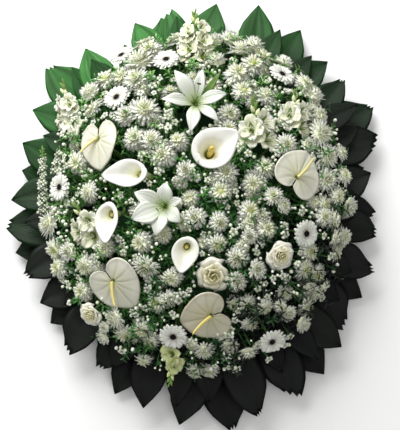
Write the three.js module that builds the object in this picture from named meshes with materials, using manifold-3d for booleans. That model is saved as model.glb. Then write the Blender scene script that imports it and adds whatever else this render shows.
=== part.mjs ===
// Funeral wreath: a full, domed round tribute of white flowers with a collar of broad ti leaves.
// It lies on its back: cut stems are pushed into a pad of wet floral foam on a plywood backing board.
// Millimetres. +Z out of the wreath's face, +Y to its top, +X to its right as seen from the front.
// The origin is the centre of the backing board's underside, which is the face it rests on.
import * as THREE from "three";
import { mergeVertices } from "three/addons/utils/BufferGeometryUtils.js";
import Module from "manifold-3d";

const wasm = await Module();
wasm.setup();

const DEG = Math.PI / 180;
const UP = new THREE.Vector3(0, 0, 1);

// ---- driving dimensions -------------------------------------------------------------------------

const board = { halfWidth: 262, halfHeight: 290, thickness: 10 };
const foam = { halfWidth: 250, halfHeight: 277, height: 86, gap: 0.3, sides: 24, squareness: 3.2 };
const hanger = { spread: 60, reach: 24, inside: 28, wire: 1.5, level: 5 };

// The bloom surface is the domed skin on which the flower heads sit.
const bloom = {
  halfWidth: 406,
  halfHeight: 472,
  rimLevel: 108,
  crownLevel: 258,
  round: 2.2, // how square-shouldered the dome is
  rise: 0.75,
  stemTilt: 76, // degrees that a stem at the rim leans outwards
  faceTilt: 50, // degrees that a head at the rim faces outwards
  faceDrop: 0.12, // how far every head also nods towards the wreath's foot
  lean: 1.2,
  crownReach: 192, // from a head's place down to the cut end of its stem in the foam, at the crown
  rimReach: 250, // and at the rim
};

const stemRadius = 3;
const stemSides = 5;
const socketClearance = 0.6;

// ---- solids from three.js geometry --------------------------------------------------------------

function solidOf(geometry) {
  const bare = new THREE.BufferGeometry();
  bare.setAttribute("position", geometry.getAttribute("position").clone());
  if (geometry.index) bare.setIndex(geometry.index.clone());
  const merged = mergeVertices(bare, 1e-3);
  return new wasm.Manifold(
    new wasm.Mesh({
      numProp: 3,
      vertProperties: new Float32Array(merged.attributes.position.array),
      triVerts: new Uint32Array(merged.index.array),
    }),
  );
}

function joined(solids) {
  return solids.reduce((whole, piece) => whole.add(piece));
}

function meshOf(name, solid, material) {
  const made = solid.getMesh();
  const geometry = new THREE.BufferGeometry();
  geometry.setAttribute("position", new THREE.BufferAttribute(new Float32Array(made.vertProperties), 3));
  geometry.setIndex(new THREE.BufferAttribute(new Uint32Array(made.triVerts), 1));
  geometry.computeVertexNormals();
  const mesh = new THREE.Mesh(geometry, material);
  mesh.name = name;
  return mesh;
}

// A straight round rod between two points.
function rod(from, to, radius, sides = 6, endRadius = radius) {
  const along = to.clone().sub(from);
  const geometry = new THREE.CylinderGeometry(endRadius, radius, along.length(), sides);
  geometry.applyQuaternion(
    new THREE.Quaternion().setFromUnitVectors(new THREE.Vector3(0, 1, 0), along.clone().normalize()),
  );
  const middle = from.clone().add(to).multiplyScalar(0.5);
  geometry.translate(middle.x, middle.y, middle.z);
  return solidOf(geometry);
}

// A body of revolution about Z. The profile runs from the lower end on the axis to the upper one.
function turned(profile, sides, place = new THREE.Matrix4()) {
  const points = profile.map(([r, z]) => new THREE.Vector2(r, z));
  const geometry = new THREE.LatheGeometry(points, sides);
  geometry.rotateX(90 * DEG);
  geometry.applyMatrix4(place);
  return solidOf(geometry);
}

// A closed skin through rings of points; a ring of one point closes an end to a tip.
function skinned(rings, place = new THREE.Matrix4()) {
  const positions = [];
  const starts = rings.map((ring) => {
    const start = positions.length / 3;
    ring.forEach((p) => positions.push(p.x, p.y, p.z));
    return start;
  });
  const index = [];
  const closeEnd = (start, count, facingBack) => {
    for (let i = 1; i + 1 < count; i++) {
      if (facingBack) index.push(start, start + i + 1, start + i);
      else index.push(start, start + i, start + i + 1);
    }
  };
  for (let s = 0; s + 1 < rings.length; s++) {
    const near = rings[s].length;
    const far = rings[s + 1].length;
    const count = Math.max(near, far);
    for (let i = 0; i < count; i++) {
      const j = (i + 1) % count;
      const a = starts[s] + (near > 1 ? i : 0);
      const b = starts[s] + (near > 1 ? j : 0);
      const c = starts[s + 1] + (far > 1 ? i : 0);
      const d = starts[s + 1] + (far > 1 ? j : 0);
      if (near > 1) index.push(a, b, d);
      if (far > 1) index.push(a, d, c);
    }
  }
  closeEnd(starts[0], rings[0].length, true);
  closeEnd(starts[rings.length - 1], rings[rings.length - 1].length, false);
  const geometry = new THREE.BufferGeometry();
  geometry.setAttribute("position", new THREE.BufferAttribute(new Float32Array(positions), 3));
  geometry.setIndex(index);
  geometry.applyMatrix4(place);
  const solid = solidOf(geometry);
  if (solid.volume() > 0) return solid;
  for (let i = 0; i < index.length; i += 3) [index[i], index[i + 1]] = [index[i + 1], index[i]];
  geometry.setIndex(index);
  return solidOf(geometry);
}

// A round twig or wire bent through the points.
function twig(points, radius, sides = 5) {
  const side = new THREE.Vector3(0.3, 0.5, 0.81);
  const rings = points.map((point, i) => {
    const before = points[Math.max(0, i - 1)];
    const after = points[Math.min(points.length - 1, i + 1)];
    const ahead = after.clone().sub(before).normalize();
    side.addScaledVector(ahead, -side.dot(ahead)).normalize();
    const across = new THREE.Vector3().crossVectors(ahead, side);
    return Array.from({ length: sides }, (_, k) => {
      const angle = (k * 360 * DEG) / sides;
      return point
        .clone()
        .addScaledVector(side, radius * Math.cos(angle))
        .addScaledVector(across, radius * Math.sin(angle));
    });
  });
  return skinned(rings);
}

// A leaf or petal: a thin blade along a spine, folded along its middle.
// Each station is { at, side, up, half, fold }: a spine point, two directions, half width and rise of the edges.
function blade(stations, thickness, place) {
  const rings = stations.map(({ at, side, up, half, fold }) => {
    if (half < 0.5) return [at.clone()];
    const edge = (way) => at.clone().addScaledVector(side, way * half).addScaledVector(up, fold);
    return [
      edge(-1),
      at.clone().addScaledVector(up, -thickness / 2),
      edge(1),
      at.clone().addScaledVector(up, thickness / 2),
    ];
  });
  return skinned(rings, place);
}

// ---- places on the bloom surface ----------------------------------------------------------------

// clock: degrees clockwise from the wreath's top. share: 0 at the crown, 1 at the rim.
function placeOn(clock, share) {
  const x = bloom.halfWidth * share * Math.sin(clock * DEG);
  const y = bloom.halfHeight * share * Math.cos(clock * DEG);
  const height = Math.max(0, 1 - share ** bloom.round) ** bloom.rise;
  const z = bloom.rimLevel + (bloom.crownLevel - bloom.rimLevel) * height;
  const outwards = new THREE.Vector3(x, y, 0).normalize();
  const leaning = (tilt) =>
    UP.clone()
      .multiplyScalar(Math.cos(tilt * DEG * share ** bloom.lean))
      .addScaledVector(outwards, Math.sin(tilt * DEG * share ** bloom.lean));
  const facing = leaning(bloom.faceTilt);
  facing.y -= bloom.faceDrop;
  facing.normalize();
  const reach = bloom.crownReach + (bloom.rimReach - bloom.crownReach) * share ** 2;
  return { at: new THREE.Vector3(x, y, z), facing, stemWay: leaning(bloom.stemTilt), reach };
}

// A head's own frame: +Z the way it faces, +Y the way that roll points on the clock.
function frameOf({ at, facing }, roll = 0, lift = 0) {
  const towards = new THREE.Vector3(Math.sin(roll * DEG), Math.cos(roll * DEG), 0);
  const yAxis = towards.addScaledVector(facing, -towards.dot(facing)).normalize();
  const xAxis = new THREE.Vector3().crossVectors(yAxis, facing);
  const origin = at.clone().addScaledVector(facing, lift);
  return new THREE.Matrix4().makeBasis(xAxis, yAxis, facing).setPosition(origin);
}

// A point down the stem.
function below(place, depth) {
  return place.at.clone().addScaledVector(place.stemWay, -depth);
}

const sockets = []; // what is bored out of the foam for the cut stems

function cutStem(place, fromDepth, radius = stemRadius) {
  const cutEnd = below(place, place.reach);
  sockets.push(rod(below(place, place.reach + 1.5), below(place, fromDepth), radius + socketClearance, stemSides));
  return rod(cutEnd, below(place, fromDepth), radius, stemSides);
}

// ---- materials ----------------------------------------------------------------------------------

const finish = (colour, roughness, metalness = 0) =>
  new THREE.MeshStandardMaterial({ color: colour, roughness, metalness });
const materials = {
  plywood: finish("#b08a5a", 0.8),
  foam: finish("#3f6b3c", 0.95),
  wire: finish("#5d6a62", 0.4, 0.9),
  leaf: finish("#1f4a22", 0.4),
  anthurium: finish("#eceadb", 0.25),
  calla: finish("#f6f4ea", 0.4),
  lily: finish("#f4f5ee", 0.5),
  gerbera: finish("#f5f3ee", 0.6),
  rose: finish("#ece9d0", 0.6),
  gladiolus: finish("#eeeccf", 0.55),
  stock: finish("#e9eddd", 0.65),
  chrysanthemum: finish("#f2f1e8", 0.65),
  waxflower: finish("#f1f2ea", 0.6),
};

const wreath = new THREE.Group();
wreath.name = "funeral_wreath";
const add = (name, solid, material) => wreath.add(meshOf(name, solid, material));

// ---- ti leaf collar -----------------------------------------------------------------------------

// Leaves in threes, wired to one pick: clock of the tip, reach of the tip from the centre, blade width,
// and the share of its length at which a blade is trimmed with scissors (1 is an uncut point).
const collar = [
  [[342, 552, 96, 1], [350, 570, 124, 0.93], [6, 588, 110, 1]],
  [[17, 602, 104, 1], [29, 594, 106, 1], [42, 550, 98, 1]],
  [[49, 534, 92, 0.97], [59, 562, 124, 0.97], [70, 520, 116, 0.93]],
  [[81, 482, 98, 1], [91, 478, 106, 0.95], [100, 484, 98, 0.95]],
  [[109, 496, 100, 0.96], [118, 508, 94, 1], [129, 508, 116, 0.94]],
  [[135, 542, 106, 1], [145, 566, 112, 1], [155, 566, 116, 0.93]],
  [[164, 584, 112, 0.97], [173, 604, 122, 0.97], [184, 594, 106, 1]],
  [[194, 566, 98, 1], [202, 554, 94, 1], [211, 508, 98, 0.95]],
  [[221, 522, 104, 0.94], [230, 508, 104, 1], [239, 498, 104, 1]],
  [[247, 498, 98, 0.96], [255, 512, 104, 1], [263, 518, 112, 0.95]],
  [[272, 508, 98, 1], [281, 498, 98, 1], [290, 516, 102, 1]],
  [[300, 528, 102, 1], [313, 580, 126, 0.96], [326, 552, 104, 1]],
];
const leafTiers = [68, 25, 47]; // the level of the three blades of a fan, so that neighbours clear each other
const pick = { level: 34, inFoam: 46, outOfFoam: 22, radius: 3.5 };
const leafThickness = 2.4;
const leafFold = 0.12;
// A blade's half width as a share of its widest, from its foot to its point.
const leafShape = [[0, 0.08], [0.14, 0.44], [0.34, 0.84], [0.6, 1], [0.82, 0.8], [0.92, 0.46], [1, 0]];

function shapeAt(t) {
  const i = Math.max(1, leafShape.findIndex(([at]) => at >= t));
  const [near, far] = [leafShape[i - 1], leafShape[i]];
  return near[1] + ((far[1] - near[1]) * (t - near[0])) / (far[0] - near[0]);
}

function tiLeaf(from, [clock, reach, width, trimmed], level) {
  const tip = new THREE.Vector3(reach * Math.sin(clock * DEG), reach * Math.cos(clock * DEG), level);
  const run = tip.clone().sub(from);
  run.z = 0;
  const side = new THREE.Vector3(-run.y, run.x, 0).normalize();
  const stations = leafShape.map(([share]) => {
    const t = share * trimmed;
    const settle = Math.sin(Math.min(1, t / 0.42) * 90 * DEG);
    const at = from.clone().addScaledVector(run, share);
    at.z = pick.level + (level - pick.level) * settle;
    const half = (width / 2) * shapeAt(t);
    return { at, side, up: UP, half, fold: leafFold * half };
  });
  return blade(stations, leafThickness);
}

collar.forEach((leaves, fan) => {
  const clock = leaves[1][0];
  const way = new THREE.Vector3(Math.sin(clock * DEG), Math.cos(clock * DEG), 0);
  const foamReach = 1 / Math.hypot(way.x / foam.halfWidth, way.y / foam.halfHeight);
  const from = way.clone().multiplyScalar(foamReach - pick.inFoam).setZ(pick.level);
  const to = way.clone().multiplyScalar(foamReach + pick.outOfFoam).setZ(pick.level);
  const boreEnd = way.clone().multiplyScalar(foamReach - pick.inFoam - 1.5).setZ(pick.level);
  sockets.push(rod(boreEnd, to, pick.radius + socketClearance));
  const fromPick = to.clone().addScaledVector(way, -6);
  const blades = leaves.map((leaf, i) => tiLeaf(fromPick, leaf, leafTiers[i]));
  add(`ti_leaf_fan_${String(fan + 1).padStart(2, "0")}`, joined([rod(from, to, pick.radius), ...blades]), materials.leaf);
});

// ---- anthuriums ---------------------------------------------------------------------------------

// The spathe's outline as shares of its tip length, from the tip round to the notch at the stem.
const heart = [1, 0.88, 0.82, 0.8, 0.8, 0.78, 0.7, 0.5, 0.24];
const anthuriums = [
  { clock: 295, share: 0.68, roll: 174, length: 90, width: 0.76, spadixRoll: 215, lift: 26 },
  { clock: 84, share: 0.61, roll: 32, length: 86, width: 1, spadixRoll: 34, lift: 26 },
  { clock: 227, share: 0.705, roll: 150, length: 92, width: 0.96, spadixRoll: 172, lift: 28 },
  { clock: 173, share: 0.675, roll: 248, length: 84, width: 1, spadixRoll: 228, lift: 25 },
];
const spadix = { length: 68, base: 4.5, tip: 2.6, rise: 30 };
const spatheThickness = 2.4;

function heartRing(share, length, width, above, cup) {
  const ring = [];
  const half = heart.length - 1;
  for (let i = 0; i < 2 * half; i++) {
    const step = i <= half ? i : 2 * half - i;
    const angle = (i * 180 * DEG) / half;
    const r = share * length * heart[step];
    const x = r * width * Math.sin(angle);
    const y = r * Math.cos(angle);
    const droop = cup * (r / length) ** 2 - 5 * share * Math.exp(-Math.abs(x) / 10);
    ring.push(new THREE.Vector3(x, y, above - droop));
  }
  return ring;
}

function anthurium({ clock, share, roll, length, width, spadixRoll, lift }) {
  const place = placeOn(clock, share);
  const frame = frameOf(place, roll, lift);
  const cup = 0.16 * length;
  const half = spatheThickness / 2;
  const spathe = skinned(
    [
      [new THREE.Vector3(0, 0, half)],
      heartRing(0.5, length, width, half, cup),
      heartRing(1, length, width, 0.1, cup),
      heartRing(0.5, length, width, -half, cup),
      [new THREE.Vector3(0, 0, -half)],
    ],
    frame,
  );
  const origin = new THREE.Vector3().setFromMatrixPosition(frame);
  const swing = frameOf(place, spadixRoll, lift);
  const end = new THREE.Vector3(0, Math.sqrt(spadix.length ** 2 - spadix.rise ** 2), spadix.rise).applyMatrix4(swing);
  return joined([
    spathe,
    rod(origin, end, spadix.base, 7, spadix.tip),
    rod(below(place, 40), origin, 2.6),
    cutStem(place, 38),
  ]);
}
anthuriums.forEach((one, i) => add(`anthurium_${i + 1}`, anthurium(one), materials.anthurium));

// ---- calla lilies -------------------------------------------------------------------------------

const callas = [
  { clock: 17, share: 0.19, roll: 62, size: 1.12, width: 0.96, lift: 40, nod: 8 },
  { clock: 281, share: 0.41, roll: 268, size: 1, width: 0.74, lift: 34, nod: -18 },
  { clock: 256, share: 0.57, roll: 180, size: 0.9, width: 0.76, lift: 34, nod: 0 },
  { clock: 192, share: 0.335, roll: 192, size: 0.78, width: 0.88, lift: 34, nod: 0 },
];
// Rings of the rolled spathe: height, radius, and how far the ring is pushed and raised towards the tip.
const funnel = [
  [-96, 6, 0, 0],
  [-70, 12, 0, 0],
  [-40, 19, 2, 0],
  [-14, 32, 8, 6],
  [-2, 47, 14, 10],
];
const callaWall = 2.6;
const callaSides = 12;

function funnelRing([height, radius, push, raise], size, width, inset) {
  const ring = [];
  const pressed = 1 - (1 - width) * Math.min(1, Math.max(0, (height + 96) / 60));
  for (let i = 0; i < callaSides; i++) {
    const angle = (i * 360 * DEG) / callaSides;
    const towardsTip = Math.cos(angle);
    const point = Math.max(0, towardsTip) ** 6;
    const r = (radius - inset) * (1 + (0.38 * point * Math.max(0, height + 40)) / 40);
    const x = r * pressed * Math.sin(angle);
    const y = r * towardsTip + push;
    ring.push(new THREE.Vector3(x * size, y * size, (height + raise * towardsTip) * size));
  }
  return ring;
}

function calla({ clock, share, roll, size, width, lift, nod }) {
  const place = placeOn(clock, share);
  const frame = frameOf(place, roll, lift).multiply(new THREE.Matrix4().makeRotationX(nod * DEG));
  const outer = funnel.map((row) => funnelRing(row, size, width, 0));
  const inner = funnel.slice(2).map((row) => funnelRing([row[0] + 1.5, ...row.slice(1)], size, width, callaWall));
  const floor = [new THREE.Vector3(0, 0, -56 * size)];
  const spathe = skinned([...outer, ...inner.reverse(), floor], frame);
  const spadixFoot = new THREE.Vector3(0, 0, -60 * size).applyMatrix4(frame);
  const spadixTip = new THREE.Vector3(0, 6, -6 * size).applyMatrix4(frame);
  const funnelFoot = new THREE.Vector3(0, 0, -94 * size).applyMatrix4(frame);
  return joined([
    spathe,
    rod(spadixFoot, spadixTip, 6 * size, 7, 3.5 * size),
    rod(below(place, 92), funnelFoot, 4),
    cutStem(place, 90, 4),
  ]);
}
callas.forEach((one, i) => add(`calla_lily_${i + 1}`, calla(one), materials.calla));

// ---- lilies -------------------------------------------------------------------------------------

const lilies = [
  { clock: 359, share: 0.46, roll: 336, length: 94, lift: 42, cup: 0.6, nod: 16 },
  { clock: 243, share: 0.235, roll: 20, length: 72, lift: 27, cup: 0.54, nod: 0 },
];
const petalStations = [0, 0.25, 0.55, 0.82, 1];

function lily({ clock, share, roll, length, lift, cup, nod }) {
  const place = placeOn(clock, share);
  const frame = frameOf(place, roll, lift).multiply(new THREE.Matrix4().makeRotationX(nod * DEG));
  const petals = [0, 1, 2, 3, 4, 5].map((i) => {
    const turn = new THREE.Matrix4().makeRotationZ(-i * 60 * DEG);
    const broad = i % 2 === 0 ? 1 : 0.72;
    const stations = petalStations.map((t) => {
      const open = length * cup * Math.sin(t * 105 * DEG) * 0.72;
      const at = new THREE.Vector3(0, 3 + length * t * (0.55 + 0.35 * t), -38 + open);
      const half = t === 1 ? 0 : Math.max(4, length * 0.2 * broad * Math.sin(Math.min(1, t + 0.08) * 180 * DEG));
      return { at, side: new THREE.Vector3(1, 0, 0), up: UP, half, fold: 0.18 * half };
    });
    return blade(stations, 3, frame.clone().multiply(turn));
  });
  const throat = new THREE.Vector3(0, 0, -34).applyMatrix4(frame);
  const pistil = new THREE.Vector3(0, 0, 18).applyMatrix4(frame);
  return joined([
    ...petals,
    rod(throat, pistil, 2.4, 5, 2),
    rod(below(place, 62), throat, 3.5, 6, 7),
    cutStem(place, 60, 3.5),
  ]);
}
lilies.forEach((one, i) => add(`lily_${i + 1}`, lily(one), materials.lily));

// ---- gerberas -----------------------------------------------------------------------------------

const gerberas = [
  { clock: 345, share: 0.795 },
  { clock: 316, share: 0.75 },
  { clock: 329, share: 0.98 },
  { clock: 38, share: 0.89 },
  { clock: 273, share: 0.88 },
  { clock: 191, share: 0.8 },
  { clock: 109, share: 0.715 },
  { clock: 150, share: 0.925 },
];
const gerberaHead = [[0, -17], [38, -2], [39, 1], [11, 0], [0, 4]];

gerberas.forEach(({ clock, share }, i) => {
  const place = placeOn(clock, share);
  const head = turned(gerberaHead, 12, frameOf(place, 0, 12));
  add(`gerbera_${i + 1}`, joined([head, cutStem(place, 0)]), materials.gerbera);
});

// ---- roses --------------------------------------------------------------------------------------

const roses = [
  { clock: 226, share: 0.945, size: 1 },
  { clock: 125, share: 0.635, size: 1.05 },
  { clock: 169, share: 0.49, size: 0.95 },
];
const roseHead = [[0, -30], [27, -8], [36, 6], [21, 18], [9, 22], [0, 20]];

roses.forEach(({ clock, share, size }, i) => {
  const place = placeOn(clock, share);
  const head = turned(roseHead.map(([r, z]) => [r * size, z * size]), 9, frameOf(place, 0, 12));
  add(`rose_${i + 1}`, joined([head, cutStem(place, 10)]), materials.rose);
});

// ---- gladioli: short cut spikes of open florets with buds at the end ---------------------------

// A spike runs from its foot in the way of roll, climbing from the level by so many degrees.
const gladioli = [
  { clock: 359.5, share: 0.83, roll: 357, climb: -6, florets: 4, step: 25, size: 1 },
  { clock: 298, share: 1, roll: 350, climb: 4, florets: 3, step: 27, size: 0.95 },
  { clock: 250, share: 0.76, roll: 336, climb: 18, florets: 2, step: 28, size: 1 },
  { clock: 54, share: 0.5, roll: 352, climb: 12, florets: 2, step: 28, size: 1.1 },
  { clock: 190, share: 0.925, roll: 187, climb: -16, florets: 2, step: 26, size: 0.85 },
  { clock: 58, share: 0.76, roll: 4, climb: 4, florets: 2, step: 28, size: 1 },
];
const floretHead = [[0, -2], [9, 15], [30, 33], [0, 25]];

function gladiolus({ clock, share, roll, climb, florets, step, size }) {
  const place = placeOn(clock, share);
  const level = new THREE.Vector3(Math.sin(roll * DEG), Math.cos(roll * DEG), 0);
  const way = level.multiplyScalar(Math.cos(climb * DEG)).addScaledVector(UP, Math.sin(climb * DEG));
  const open = place.facing.clone().addScaledVector(way, -place.facing.dot(way)).normalize();
  const frame = new THREE.Matrix4().makeBasis(new THREE.Vector3().crossVectors(way, open), way, open);
  frame.setPosition(below(place, 16));
  const spineAt = (distance) => new THREE.Vector3(0, distance, 0).applyMatrix4(frame);
  const pieces = [
    twig([below(place, 50), spineAt(0), spineAt((florets + 1.2) * step * size)], 3.4, 5),
    cutStem(place, 48, 3.4),
  ];
  for (let i = 0; i < florets; i++) {
    const side = i % 2 === 0 ? 1 : -1;
    const seat = new THREE.Matrix4().setPosition(0, i * step * size, 0);
    const turn = new THREE.Matrix4().makeRotationFromEuler(new THREE.Euler(-10 * DEG, side * 26 * DEG, 0));
    const shrink = size * (1 - 0.07 * i);
    const profile = floretHead.map(([r, z]) => [r * shrink, z * shrink]);
    pieces.push(turned(profile, 7, frame.clone().multiply(seat).multiply(turn)));
  }
  for (let i = 0; i < 2; i++) {
    const foot = (florets - 0.1 + i * 0.6) * step * size;
    const tip = new THREE.Vector3(i === 0 ? 12 : -10, foot + 24 * size, 10);
    pieces.push(rod(spineAt(foot), tip.applyMatrix4(frame), 5 * size, 5, 2.5 * size));
  }
  return joined(pieces);
}
gladioli.forEach((one, i) => add(`gladiolus_${i + 1}`, gladiolus(one), materials.gladiolus));

// ---- stocks: slim spikes of small florets along the left edge ----------------------------------

const stocks = [
  { clock: 266, share: 1.03, length: 184, radius: 15, roll: 358 },
  { clock: 279, share: 0.96, length: 74, radius: 12, roll: 8 },
];

stocks.forEach(({ clock, share, length, radius, roll }, i) => {
  const place = placeOn(clock, share);
  const foot = below(place, 4);
  const way = new THREE.Vector3(Math.sin(roll * DEG), Math.cos(roll * DEG), 0.06).normalize();
  const spike = new THREE.Matrix4()
    .makeRotationFromQuaternion(new THREE.Quaternion().setFromUnitVectors(UP, way))
    .setPosition(foot);
  const profile = [[0, -8], [radius * 0.7, -2]];
  const swells = Math.round(length / 22);
  for (let s = 0; s < swells; s++) {
    const taper = 1 - 0.45 * (s / swells) ** 2;
    profile.push([radius * taper, (s + 0.35) * 22]);
    profile.push([radius * 0.72 * taper, (s + 0.85) * 22]);
  }
  profile.push([0, length]);
  add(`stock_spike_${i + 1}`, joined([turned(profile, 7, spike), cutStem(place, 2)]), materials.stock);
});

// ---- spray chrysanthemums -----------------------------------------------------------------------

const mum = { radius: 25.5, gap: 1.5, neck: 6, elbow: 46, fork: 108, forkStep: 9, twig: 2 };
const mumHead = [[0, -19], [25.5, -3], [21, 6], [0, 9]];
const waxflower = { radius: 8, gap: 2, neck: 2, elbow: 30, fork: 90, forkStep: 9, twig: 1.5 };
const waxflowerHead = [[0, -8], [8, 3], [0, 1]];

// What the other flowers take up on the bloom surface: clock, share, radius, and a shift towards roll.
const taken = [
  ...anthuriums.flatMap((f) => alongSpike(f.clock, f.share, f.roll, 40, 24, 54)),
  ...callas.flatMap((f) => alongSpike(f.clock, f.share, f.roll, 22, 20, 43 * f.size)),
  ...lilies.map((f) => [f.clock, f.share, f.length * 0.6]),
  ...gerberas.map((f) => [f.clock, f.share, 39]),
  ...roses.map((f) => [f.clock, f.share, 36 * f.size]),
  ...gladioli.flatMap((f) => alongSpike(f.clock, f.share, f.roll, f.florets * f.step * f.size, 27, 33 * f.size)),
  ...stocks.flatMap((f) => alongSpike(f.clock, f.share, f.roll, f.length, 24, f.radius + 3)),
].map(([clock, share, radius]) => ({ at: placeOn(clock, share).at, radius }));

function alongSpike(clock, share, roll, length, step, radius) {
  const spots = [];
  for (let along = 0; along < length; along += step) {
    const x = bloom.halfWidth * share * Math.sin(clock * DEG) + along * Math.sin(roll * DEG);
    const y = bloom.halfHeight * share * Math.cos(clock * DEG) + along * Math.cos(roll * DEG);
    const away = Math.hypot(x / bloom.halfWidth, y / bloom.halfHeight);
    spots.push([Math.atan2(x / bloom.halfWidth, y / bloom.halfHeight) / DEG, Math.min(1.1, away), radius]);
  }
  return spots;
}

// Heads are dealt out evenly over the dome; one is kept where it clears every flower already there.
function dealHeads({ radius, gap }, tries, start) {
  const kept = [];
  for (let n = start; n <= start + tries; n++) {
    const share = Math.sqrt((0.5 + n * 0.7548776662466927) % 1);
    const clock = 360 * ((0.5 + n * 0.5698402909980532) % 1);
    const place = placeOn(clock, share);
    if (taken.every((t) => t.at.distanceTo(place.at) > t.radius + radius + gap)) {
      kept.push(place);
      taken.push({ at: place.at, radius });
    }
  }
  return kept;
}

function nearest(list, distance) {
  return list.reduce((best, one) => (distance(one) < distance(best) ? one : best));
}

// A spray is one cut stem that forks to all its heads; each head joins the spray whose lead is nearest.
function sprayOf(lead, group, headProfile, sides, { neck, elbow, fork, forkStep, twig: thickness }) {
  const pieces = [cutStem(lead, neck, thickness + 1)];
  group.forEach((place, i) => {
    pieces.push(turned(headProfile, sides, frameOf(place)));
    const meeting = below(lead, fork + forkStep * (i % 5));
    if (place !== lead) pieces.push(twig([below(place, neck), below(place, elbow), meeting], thickness, 3));
  });
  return joined(pieces);
}

const sprayPlaces = [
  ...[8, 48, 88, 128, 168, 208, 248, 290, 330].map((clock) => placeOn(clock, 0.84).at),
  ...[36, 108, 180, 236, 316].map((clock) => placeOn(clock, 0.46).at),
];
const mums = dealHeads(mum, 6000, 1);
const leads = sprayPlaces.map((at) => nearest(mums, (place) => place.at.distanceTo(at)));
leads.forEach((lead, i) => {
  const group = mums.filter((place) => nearest(leads, (other) => other.at.distanceTo(place.at)) === lead);
  const name = `chrysanthemum_spray_${String(i + 1).padStart(2, "0")}`;
  add(name, sprayOf(lead, group, mumHead, 7, mum), materials.chrysanthemum);
});

const waxflowers = dealHeads(waxflower, 4000, 1);
[placeOn(324, 0.74).at, placeOn(144, 0.66).at].forEach((at, i) => {
  const byDistance = [...waxflowers].sort((p, q) => p.at.distanceTo(at) - q.at.distanceTo(at));
  const group = byDistance.slice(0, 6);
  add(`waxflower_sprig_${i + 1}`, sprayOf(group[0], group, waxflowerHead, 5, waxflower), materials.waxflower);
});

// ---- backing board, foam pad and hanging loop ---------------------------------------------------

const loopTop = board.halfHeight + hanger.reach;
const loopFoot = board.halfHeight - hanger.inside;
const loopHalf = hanger.spread / 2;
const loopPath = [
  [-loopHalf, loopFoot],
  [-loopHalf, (loopFoot + loopTop) / 2 - 4],
  [-loopHalf * 0.82, loopTop - 6],
  [0, loopTop + 8],
  [loopHalf * 0.82, loopTop - 6],
  [loopHalf, (loopFoot + loopTop) / 2 - 4],
  [loopHalf, loopFoot],
].map(([x, y]) => new THREE.Vector3(x, y, hanger.level));
const loopCurve = new THREE.CatmullRomCurve3(loopPath).getPoints(18);
add("hanging_loop", twig(loopCurve, hanger.wire, 7), materials.wire);

const loopHoles = [-1, 1].map((way) =>
  rod(
    new THREE.Vector3(way * loopHalf, loopFoot - 2, hanger.level),
    new THREE.Vector3(way * loopHalf, board.halfHeight + 10, hanger.level),
    hanger.wire + 1.6,
  ),
);
const boardPlate = turned([[0, 0], [1, 0], [1, 1], [0, 1]], 48, new THREE.Matrix4().makeScale(board.halfWidth, board.halfHeight, board.thickness));
add("backing_board", boardPlate.subtract(joined(loopHoles)), materials.plywood);

const foamProfile = [[0, 0]];
for (let step = 0; step <= 6; step++) {
  const angle = (step * 90 * DEG) / 6;
  const round = 2 / foam.squareness;
  foamProfile.push([step < 6 ? Math.cos(angle) ** round : 0, Math.sin(angle) ** round]);
}
const foamPlace = new THREE.Matrix4()
  .makeTranslation(0, 0, board.thickness + foam.gap)
  .multiply(new THREE.Matrix4().makeScale(foam.halfWidth, foam.halfHeight, foam.height));
const foamDome = turned(foamProfile, foam.sides, foamPlace);
add("floral_foam_pad", sockets.reduce((left, socket) => left.subtract(socket), foamDome), materials.foam);

export default wreath;
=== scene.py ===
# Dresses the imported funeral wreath: petals, leaves, stems and filler over its plain solids.
# Lengths in the tables are millimetres. +Z out of the wreath's face, +Y to its top.
import random
from math import atan2, cos, degrees, exp, hypot, pi, radians, sin, sqrt

import bpy
import numpy as np
from mathutils import Euler, Matrix, Vector, noise


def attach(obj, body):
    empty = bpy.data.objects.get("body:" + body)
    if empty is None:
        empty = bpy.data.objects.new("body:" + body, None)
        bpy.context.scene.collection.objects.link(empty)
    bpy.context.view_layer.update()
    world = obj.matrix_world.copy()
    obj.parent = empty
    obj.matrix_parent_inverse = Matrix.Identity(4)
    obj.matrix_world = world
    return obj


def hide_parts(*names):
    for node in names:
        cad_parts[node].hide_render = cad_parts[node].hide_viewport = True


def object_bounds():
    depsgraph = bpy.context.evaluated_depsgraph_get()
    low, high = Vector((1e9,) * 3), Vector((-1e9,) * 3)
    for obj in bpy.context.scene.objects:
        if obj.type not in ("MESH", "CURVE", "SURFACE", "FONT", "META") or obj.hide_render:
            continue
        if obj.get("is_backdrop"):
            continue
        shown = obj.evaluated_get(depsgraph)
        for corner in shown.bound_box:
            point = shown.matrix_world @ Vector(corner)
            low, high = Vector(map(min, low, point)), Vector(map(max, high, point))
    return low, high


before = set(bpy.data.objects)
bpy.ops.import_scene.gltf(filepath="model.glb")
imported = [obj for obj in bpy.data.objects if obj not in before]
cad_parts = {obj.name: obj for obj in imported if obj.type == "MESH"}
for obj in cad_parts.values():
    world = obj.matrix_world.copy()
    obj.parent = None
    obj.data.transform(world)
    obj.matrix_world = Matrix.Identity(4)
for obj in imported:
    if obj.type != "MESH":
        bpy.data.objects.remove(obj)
cadLow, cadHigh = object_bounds()
up = Vector((0, 0, 1))
fullTurn = 2 * pi
anyTurn = (0, 6.28)  # the range of a random angle or phase
goldenAngle = radians(137.508)
noise.seed_set(7)  # without this the noise, and so the place of each head, differs from run to run


def sway(rng, most):
    return rng.uniform(-most, most)


# The rows of a table as dictionaries with the names of its columns.
def table(columns, *rows):
    return [dict(zip(columns.split(), row)) for row in rows]


# A shape is a growing mesh: points, faces, and what the materials read at each point.
# along: root to tip, across: edge to edge, tint: one number for a petal, ring: inner to outer layer.
channels = ("along", "across", "tint", "ring")


def newShape():
    return {"points": [], "faces": [], "count": 0, **{c: [] for c in channels}}


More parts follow.
